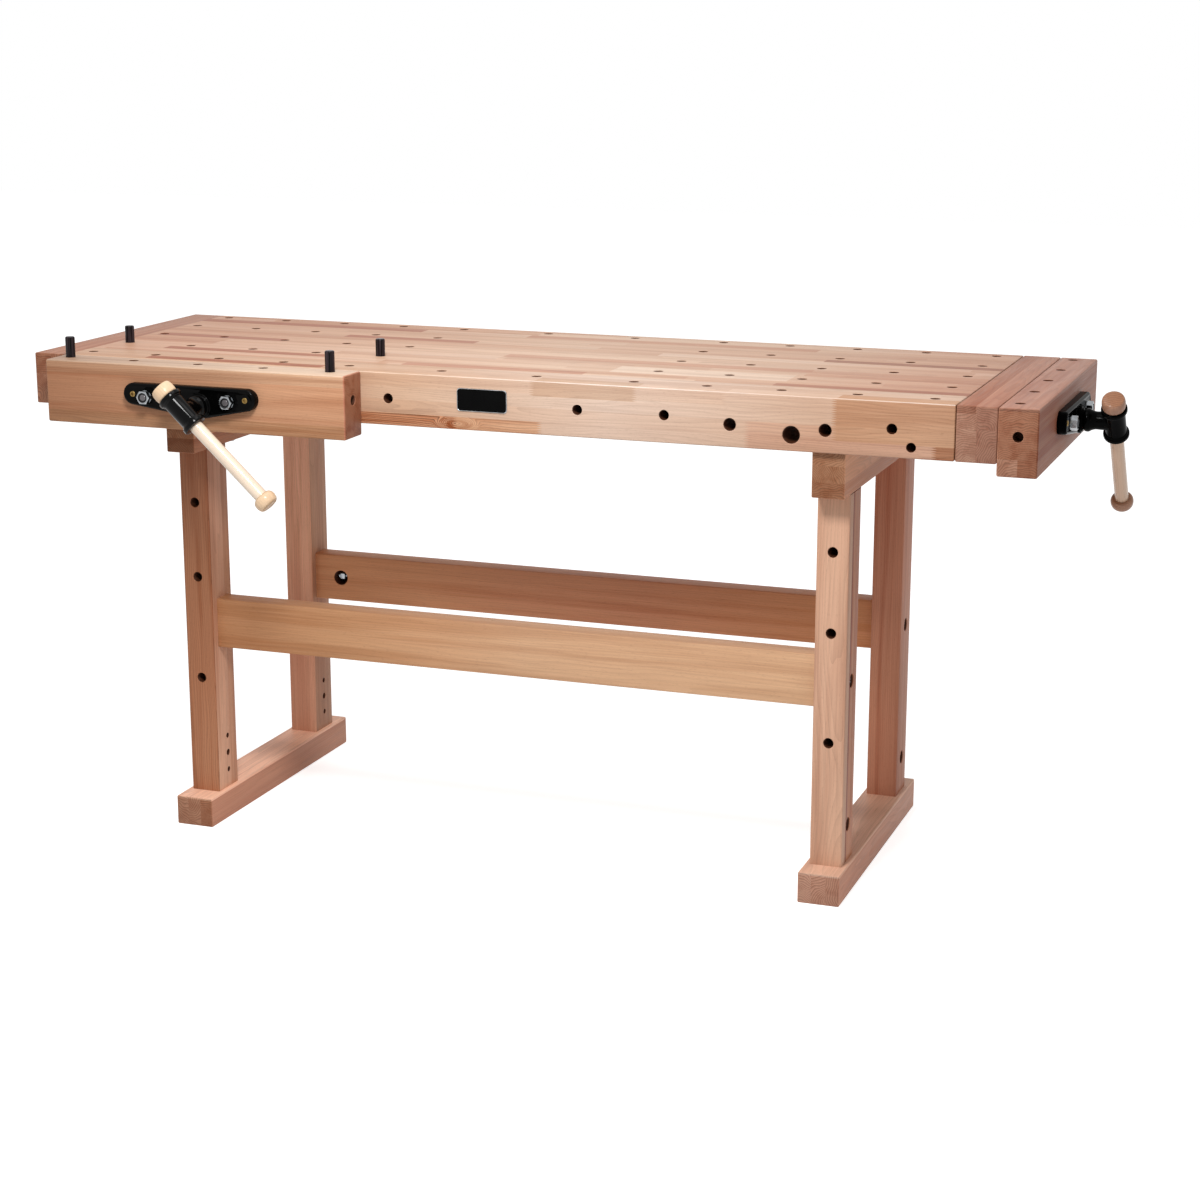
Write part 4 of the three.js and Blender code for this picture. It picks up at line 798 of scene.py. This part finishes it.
def round_bar(radius, start, end):
    """A plain round bar about z between two heights."""
    return turned([(0, start), (radius, start), (radius, end), (0, end)])


def moved(shape, matrix):
    """A tool's mesh, or a piece by its mesh, brought to another place."""
    mesh = shape.data if isinstance(shape, bpy.types.Object) else shape
    mesh.transform(matrix)
    return shape


def carve(piece, tools, operation, crease=30):
    """Joins or cuts the piece with tool meshes, which are used up."""
    for tool in tools:
        body = piece_of("tool", tool, piece.data.materials[0])
        step = piece.modifiers.new("carve", "BOOLEAN")
        step.operation, step.solver, step.object = operation, "MANIFOLD", body
        settle(piece, step)
        bpy.data.objects.remove(body)
    smooth(piece.data, crease)


def plate_mesh(circles, levels):
    """A plate whose outline goes round the circles; levels give the inset and the height of each ring."""
    mesh = bmesh.new()
    normals = []
    for (u, v, r), (u2, v2, r2) in zip(circles, circles[1:] + circles[:1]):
        normals.append(math.atan2(v2 - v, u2 - u) - math.acos((r - r2) / math.hypot(u2 - u, v2 - v)))
    path = []
    for i, (u, v, r) in enumerate(circles):
        first, last = normals[i - 1], normals[i]
        while last < first:
            last += math.tau
        steps = max(2, round((last - first) / math.radians(6)))
        path += [(u, v, r, first + (last - first) * k / steps) for k in range(steps + 1)]
    skin(mesh, [[mesh.verts.new((u + (r - inset) * math.cos(a), v + (r - inset) * math.sin(a), height))
                 for u, v, r, a in path] for inset, height in levels])
    return mesh


tip_rise, tip_spread, tip_radius, hub_radius, spindle_bore = 0.004, 0.12, 0.021, 0.025, 0.0134
tips = (-tip_spread, tip_spread)
outline = [(-tip_spread, tip_rise, tip_radius), (screw_side, -screw_drop, hub_radius),
           (tip_spread, tip_rise, tip_radius)]
edge = [(0.0, 0.0003), (0.0, 0.0125), (0.0006, 0.0146), (0.002, 0.0164), (0.004, 0.0173), (0.0058, 0.0172),
        (0.0075, 0.0166)]
hub = rounded([(0, 0.002), (0.0255, 0.002), (0.0255, 0.0195), (0.0242, 0.0206), (0.0222, 0.0206),
               (0.0218, 0.0226), (0.0205, 0.0236), (0.0188, 0.0236), (0.0182, 0.0253), (0, 0.0253)], 0.001)
screw_sink = [(0, 0.0128), (0.0059, 0.0128), (0.0059, 0.0165), (0.0075, 0.03), (0, 0.03)]
for name, place in vises.items():
    plate = piece_of(f"{name}_plate_casting", plate_mesh(outline, edge), enamel[name], crease=35)
    carve(plate, [moved(turned(hub, 64), hub_place)], "UNION")
    bores = [moved(round_bar(spindle_bore, -0.01, 0.04), hub_place)]
    bores += [moved(turned(screw_sink), Matrix.Translation((u, tip_rise, 0))) for u in tips]
    carve(plate, bores, "DIFFERENCE", crease=32)
    stand_for(moved(plate, place), f"{name}_plate")

# Vise head: a cast iron tee, painted gloss black and pinned to the screw's end.
# Its cross barrel with a flange at each end takes the wooden bar.
reach, barrel_half, bar_bore = 0.0806, 0.038, 0.0134
crosswise = Matrix.Translation((0, 0, reach)) @ Matrix.Rotation(-math.pi / 2, 4, "X")
flange = [(0, 0), (0.0228, 0), (0.024, 0.002), (0.024, 0.008), (0.0215, 0.0095), (0.0212, 0.0115),
          (0.0195, 0.0125)]
barrel = [(r, h - barrel_half) for r, h in flange] + [(r, barrel_half - h) for r, h in reversed(flange)]
neck = [(0, 0.0257), (0.0212, 0.0257), (0.022, 0.034), (0.0185, 0.0385), (0.0165, 0.046), (0.0172, 0.058),
        (0.0172, reach), (0, reach)]
for name, spindle in spindles.items():
    tee = moved(turned(rounded(barrel, 0.0012), 64), crosswise)
    head = piece_of(f"{name}_tee_head", tee, enamel[f"{name}_tee"])
    carve(head, [turned(rounded(neck, 0.003), 64)], "UNION")
    carve(head, [moved(round_bar(bar_bore, -0.05, 0.05), crosswise)], "DIFFERENCE", crease=32)
    stand_for(moved(head, spindle), f"{name}_head")

# Bars: turned beech, lacquered, with a glued knob on each end, free to slide through the barrel.
# Each hangs with its upper knob on the barrel; the lacquer gives the pale wood a soft shine.
# The end vise's bar has darker tones than the front one's as painted shade; its knobs are darker wood, with
# painted shade as well
bar_tones = {"front": [(0.0, "#dfcab4"), (1.0, "#e3d0bb")], "end": [(0.0, "#cfae94"), (1.0, "#d3b49b")]}
knob_tones = {"front": [(0.0, "#d6b795"), (1.0, "#dabc9b")], "end": [(0.0, "#a27860"), (1.0, "#a77d67")]}
tilts = {"front": (0, leans["front"], 0), "end": (-leans["end"], 0, 0)}
bar_radius, bar_between, upper, glued, socket = 0.013, 0.258, 0.0383, 0.0147, 0.0133
lower = upper - bar_between
drum = rounded([(socket, 0), (0.0198, 0), (0.0216, 0.005), (0.0219, 0.014), (0.0208, 0.0215),
                (0.0186, 0.0243), (0, 0.0249)], 0.004)
ball = rounded([(socket, 0), (0.0172, 0.0004), (0.0212, 0.0055), (0.0219, 0.0125), (0.0206, 0.0195),
                (0.0166, 0.0243), (0, 0.0249)], 0.005)
knobs = {"upper": (drum, Matrix.Translation((0, 0, upper))),
         "lower": (ball, Matrix.Translation((0, 0, lower)) @ Matrix.Rotation(math.pi, 4, "X"))}
for name, spindle in spindles.items():
    bar_wood = one_piece(f"lacquered_beech_{name}_bar", tones=bar_tones[name], lean=tilts[name],
                         gloss=(0.24, 0.34), coat=0.4, figure=0.6, streaks=0.1)
    knob_wood = one_piece(f"lacquered_beech_{name}_knobs", tones=knob_tones[name], lean=tilts[name],
                          gloss=(0.3, 0.4), coat=0.2, figure=0.6, streaks=0.2, end_shade=0.9)
    bar = piece_of(f"{name}_bar_turning", round_bar(bar_radius, lower - glued, upper + glued), bar_wood)
    stand_for(moved(bar, spindle @ crosswise), f"{name}_bar")
    for end, (profile, start) in knobs.items():
        solid = turned([(0, 0.015), (socket, 0.015)] + profile)
        knob = piece_of(f"{name}_{end}_knob_turning", solid, knob_wood, crease=35)
        stand_for(moved(knob, spindle @ crosswise @ start), f"{name}_{end}_knob")

# Guide rods: two turned steel bars behind each plate, which run through jaw and bench to keep the jaw square.
# A stud on each end takes a hexagon nut: zinc plated nuts in front, the yoke's nuts behind.
screw_thread, node, given = shape_tree("screw_thread", {
    "Core": "Geometry", **dict.fromkeys(("Radius", "Turns", "Length", "Root", "Crest", "Depth"), "Float"),
    "Finish": "Material"})
helix = node("GeometryNodeCurveSpiral", {"Resolution": 32, "Rotations": given["Turns"],
                                         "Height": given["Length"], "Start Radius": given["Radius"],
                                         "End Radius": given["Radius"]})
upright = node("GeometryNodeSetCurveNormal", helix, mode="Z_UP")
ridge = node("GeometryNodeCurvePrimitiveQuadrilateral", {"Height": given["Depth"],
                                                         "Bottom Width": given["Root"],
                                                         "Top Width": given["Crest"], "Offset": 0.0},
             mode="TRAPEZOID")
quarter = node("GeometryNodeTransform", ridge, {"Rotation": (0, 0, math.pi / 2)})
swept = node("GeometryNodeCurveToMesh", {"Curve": upright, "Profile Curve": quarter, "Fill Caps": True})
whole = node("GeometryNodeJoinGeometry", given["Core"])
feed(whole, {0: swept})
end_tree(whole, given["Finish"])


def threaded(name, core, finish, radius, depth, lead, start, end):
    """A turned core with a thread wound on it from one height to the other."""
    piece = piece_of(name, moved(core, Matrix.Translation((0, 0, -start))), finish, crease=25)
    run_tree(piece, screw_thread, 25, Radius=radius - depth / 2, Turns=(end - start) / lead,
             Length=end - start, Root=0.72 * lead, Crest=0.28 * lead, Depth=depth, Finish=finish)
    return moved(piece, Matrix.Translation((0, 0, start)))


def reach_of(node, place):
    """How far a solid goes behind and in front of the jaw's outer face."""
    return sorted((place.inverted() @ corner).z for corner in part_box(node))


# Oiled steel is a darker grey metal with soft lights along the rods
rod_steel = lacquered("oiled_steel", "#716d6f", 0.32, metallic=1.0, grit=0.0006)
nut_seat, nut_washer, nut_height, nut_across = 0.0174, 0.002, 0.0112, 0.024
nut_face = nut_seat + nut_washer + nut_height
stud_tip, stud_short, stud_from = 0.0012, 0.0008, 0.012
stud_thread = {"radius": 0.0079, "depth": 0.0014, "lead": 0.002}
for name, place in vises.items():
    for side, u in zip(("left", "right"), rod_sides):
        back, front = reach_of(f"{name}_{side}_guide_rod", place)
        front = min(front, nut_face - stud_short)
        profile = [(0, back), (0.0072, back), (0.008, back + 0.001), (0.008, back + 0.012),
                   (0.0105, back + 0.012), (0.011, back + 0.0128), (0.011, 0.0), (0.0068, 0.0),
                   (0.0068, front - stud_tip), (0.0056, front), (0, front)]
        rod = threaded(f"{name}_{side}_rod_turning", turned(profile), rod_steel, start=stud_from,
                       end=front - stud_tip, **stud_thread)
        stand_for(moved(rod, place @ Matrix.Translation((u, 0, 0))), f"{name}_{side}_guide_rod")
    way = place.to_3x3() @ Vector((0, 0, 1))
    front_nuts = fasteners(f"{name}_plate_nuts", [(place @ Vector((u, 0, nut_seat)), way) for u in rod_sides],
                           nut_across, nut_height, washer=0.0258, washer_height=nut_washer,
                           countersink=0.0094)
    stand_for(front_nuts, f"{name}_left_rod_nut", f"{name}_right_rod_nut")

# Yoke: a flat steel bar with round ends, blackened, that ties the rods' tails together behind the bench.
# Each stud goes through it and is held by a zinc plated nut with a washer.
# Blackened steel is almost black, with a satin sheen.
black_steel = lacquered("blackened_steel", "#0c0909", 0.2, grit=0.001, specular=0.18)
yoke_over, yoke_radius, yoke_edge, stud_hole = 0.008, 0.012, 0.0012, 0.0083
for name, place in vises.items():
    back, front = reach_of(f"{name}_yoke", place)
    rims = [(yoke_edge, back), (0.0, back + yoke_edge), (0.0, front - yoke_edge), (yoke_edge, front)]
    ends = [(rod_sides[0] - yoke_over, 0, yoke_radius), (rod_sides[1] + yoke_over, 0, yoke_radius)]
    yoke = piece_of(f"{name}_yoke_bar", plate_mesh(ends, rims), black_steel, crease=30)
    carve(yoke, [moved(round_bar(stud_hole, back - 0.01, front + 0.01), Matrix.Translation((u, 0, 0)))
                 for u in rod_sides], "DIFFERENCE")
    stand_for(moved(yoke, place), f"{name}_yoke")
    way = place.to_3x3() @ Vector((0, 0, -1))
    tail_nuts = fasteners(f"{name}_yoke_nuts", [(place @ Vector((u, 0, back)), way) for u in rod_sides],
                          nut_across, 0.008, washer=0.026, washer_height=0.0015, shank=0.0156, ahead=0.003)
    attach(tail_nuts, f"{name}_carriage")

# Nut bracket: a cast iron bracket, painted black, on the back of the beam or cap; its boss is the vise's nut.
# Two lag screws hold it, and the rods pass through it with a little play.
wing_spread, wing_radius, boss_radius, nut_bore, rod_play = 0.118, 0.017, 0.0235, 0.0144, 0.0117
wing_thick, lag_spread = 0.024, 0.119
outline = [(-wing_spread, 0, wing_radius), (screw_side, -screw_drop, 0.024), (wing_spread, 0, wing_radius)]
for name, place in vises.items():
    back, front = reach_of(f"{name}_nut_bracket", place)
    rims = [(0.002, front - wing_thick), (0.0, front - 0.022), (0.0, front)]
    bracket = piece_of(f"{name}_nut_casting", plate_mesh(outline, rims), enamel[name], crease=30)
    boss = rounded([(0, back), (boss_radius, back), (boss_radius, front - 0.003), (0, front - 0.003)], 0.002)
    carve(bracket, [moved(turned(boss, 64), hub_place)], "UNION")
    bores = [moved(round_bar(nut_bore, back - 0.01, front + 0.01), hub_place)]
    bores += [moved(round_bar(rod_play, back - 0.01, front + 0.01), Matrix.Translation((u, 0, 0)))
              for u in rod_sides]
    carve(bracket, bores, "DIFFERENCE")
    stand_for(moved(bracket, place), f"{name}_nut_bracket")
    way = place.to_3x3() @ Vector((0, 0, -1))
    lag_places = [(place @ Vector((u, 0, front - wing_thick)), way) for u in (-lag_spread, lag_spread)]
    lags = fasteners(f"{name}_bracket_screws", lag_places, 0.013, 0.0055, washer=0.018, washer_height=0.0015)
    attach(lags, "bench")

# Vise screws: turned steel with a rolled trapezoid thread of 6 mm lead, which runs in the bracket's boss.
# A turned collar behind the plate holds each screw in it.
# Turned steel is a bright, slightly soft metal.
bright = lacquered("turned_steel", "#b4b6b8", 0.3, metallic=1.0, grit=0.0006)
vise_thread = {"radius": 0.014, "depth": 0.003, "lead": 0.006}
plain_tail, thread_end = 0.003, -0.0135
ring = rounded([(0.0133, -0.0101), (0.022, -0.0101), (0.022, -0.0001), (0.0133, -0.0001), (0.0133, -0.005)],
               0.001)
for name, place in vises.items():
    back, front = reach_of(f"{name}_screw", place)
    profile = [(0, back), (0.0105, back), (0.0115, back + 0.0015), (0.0115, -0.0105), (0.013, -0.0103),
               (0.013, 0.0254), (0.01, 0.0254), (0.01, front), (0, front)]
    screw = threaded(f"{name}_screw_turning", turned(profile), bright, start=back + plain_tail,
                     end=thread_end, **vise_thread)
    stand_for(moved(screw, spindles[name]), f"{name}_screw")
    collar = piece_of(f"{name}_collar_turning", turned(ring), bright, crease=30)
    stand_for(moved(collar, spindles[name]), f"{name}_retainer")

# Plate screws: turned brass wood screws through the plate's ends into the jaw.
# The round head sits in a countersink and has a dark socket.
# Brass is a dull yellow metal here, as it lies in shade.
brass = lacquered("turned_brass", "#8c7345", 0.34, metallic=1.0, grit=0.0006)
profile = [(0, -0.0397), (0.0022, -0.036), (0.003, -0.033), (0.003, 0.0136), (0.0055, 0.0136),
           (0.0055, 0.0168), (0.0049, 0.0175), (0.0032, 0.0175), (0.0028, 0.017), (0.0027, 0.0142),
           (0, 0.0142)]
for name, place in vises.items():
    for side, u in zip(("left", "right"), tips):
        screw = piece_of(f"{name}_{side}_brass_screw", turned(profile, 32), brass, crease=30)
        stand_for(moved(screw, place @ Matrix.Translation((u, tip_rise, 0))), f"{name}_{side}_plate_screw")

# Dogs: round steel pegs, drawn and blackened, with a chamfer at both ends, pushed into holes of jaw and top.
# Lighter streaks run along them, uneven and much stretched: painted highlights from the studio lamps. The
# drawing leaves uneven lighter streaks along them, drawn wider than real ones so that they show.
dog_steel_painted_highlights = lacquered("blackened_steel_painted_highlights", "#241d20", 0.2, grit=0.0002, drawn=40.0, unevenness=0.95,
                        specular=0.1)
dog_radius = 0.00925
for where in ("jaw", "top"):
    for side in ("left", "right"):
        low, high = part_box(f"{side}_{where}_dog")
        tall = high.z - low.z
        profile = rounded([(0, 0), (0.0073, 0), (dog_radius, 0.002), (dog_radius, tall - 0.0018),
                           (0.0075, tall), (0, tall)], 0.0008)
        dog = piece_of(f"{side}_{where}_dog_turning", turned(profile), dog_steel_painted_highlights, crease=30)
        foot = Matrix.Translation(((low.x + high.x) / 2, (low.y + high.y) / 2, low.z))
        stand_for(moved(dog, foot), f"{side}_{where}_dog")

# Studio: a floor of white paper under a white room, two soft lamps above and in front of the bench,
# and a camera where the photographer stood. Floor and room look whiter than the light that they give.


def looked_at(tree):
    """A node that is 1 where the camera sees a thing, straight, mirrored or through glass."""
    path = add(tree, "ShaderNodeLightPath").outputs
    seen = add(tree, "ShaderNodeMath", path["Is Camera Ray"], path["Is Glossy Ray"], operation="MAXIMUM")
    return add(tree, "ShaderNodeMath", seen, path["Is Transmission Ray"], operation="MAXIMUM")


floor_half, paper_glow, room_light, room_white = 14, 0.7, 0.55, 1.0
floor_paper, tree, shader = new_material("white_paper_sweep")
glow = add(tree, "ShaderNodeMath", looked_at(tree), paper_glow, operation="MULTIPLY")
feed(shader, {"Base Color": (0.8, 0.8, 0.8, 1), "Roughness": 0.9, "Specular IOR Level": 0.0,
              "Emission Color": (1, 1, 1, 1), "Emission Strength": glow})
mesh = bmesh.new()
bmesh.ops.create_grid(mesh, x_segments=8, y_segments=8, size=floor_half)
floor = piece_of("studio_floor", mesh, floor_paper)

world = bpy.data.worlds.new("studio")
bpy.context.scene.world = world
world.use_nodes = True
tree = world.node_tree
level = add(tree, "ShaderNodeMapRange", looked_at(tree), {3: room_light, 4: room_white})
feed(tree.nodes["Background"], {"Color": (1, 1, 1, 1), "Strength": level})

for name, position, target, size, power in (("key", (0.25, -1.7, 2.35), (0.1, 0, 0.6), 0.5, 44),
                                            ("overhead", (0.0, -0.45, 2.9), (0, 0, 0.6), 1.2, 14)):
    data = bpy.data.lights.new(name, "AREA")
    data.size = size
    data.energy = power
    lamp = bpy.data.objects.new(name, data)
    lamp.location = position
    lamp.rotation_euler = (Vector(target) - Vector(position)).to_track_quat("-Z", "Y").to_euler()
    bpy.context.scene.collection.objects.link(lamp)

azimuth, elevation, roll = (math.radians(a) for a in (19.689, 13.915, 0.099))
back = Vector((math.sin(azimuth) * math.cos(elevation), -math.cos(azimuth) * math.cos(elevation),
               math.sin(elevation)))
level_right = Vector((math.cos(azimuth), math.sin(azimuth), 0))
level_up = back.cross(level_right)
right = level_right * math.cos(roll) + level_up * math.sin(roll)
up = level_up * math.cos(roll) - level_right * math.sin(roll)
lens = bpy.data.cameras.new("camera")
lens.sensor_width = 36
lens.lens = 72.514
lens.shift_x, lens.shift_y = -0.01126, -0.00073
camera = bpy.data.objects.new("camera", lens)
standpoint = at(2678.4, -4088.7, 1629.1)
camera.matrix_world = Matrix.Translation(standpoint) @ Matrix((right, up, back)).transposed().to_4x4()
bpy.context.scene.collection.objects.link(camera)
bpy.context.scene.camera = camera
bpy.context.scene.view_settings.view_transform = "Standard"
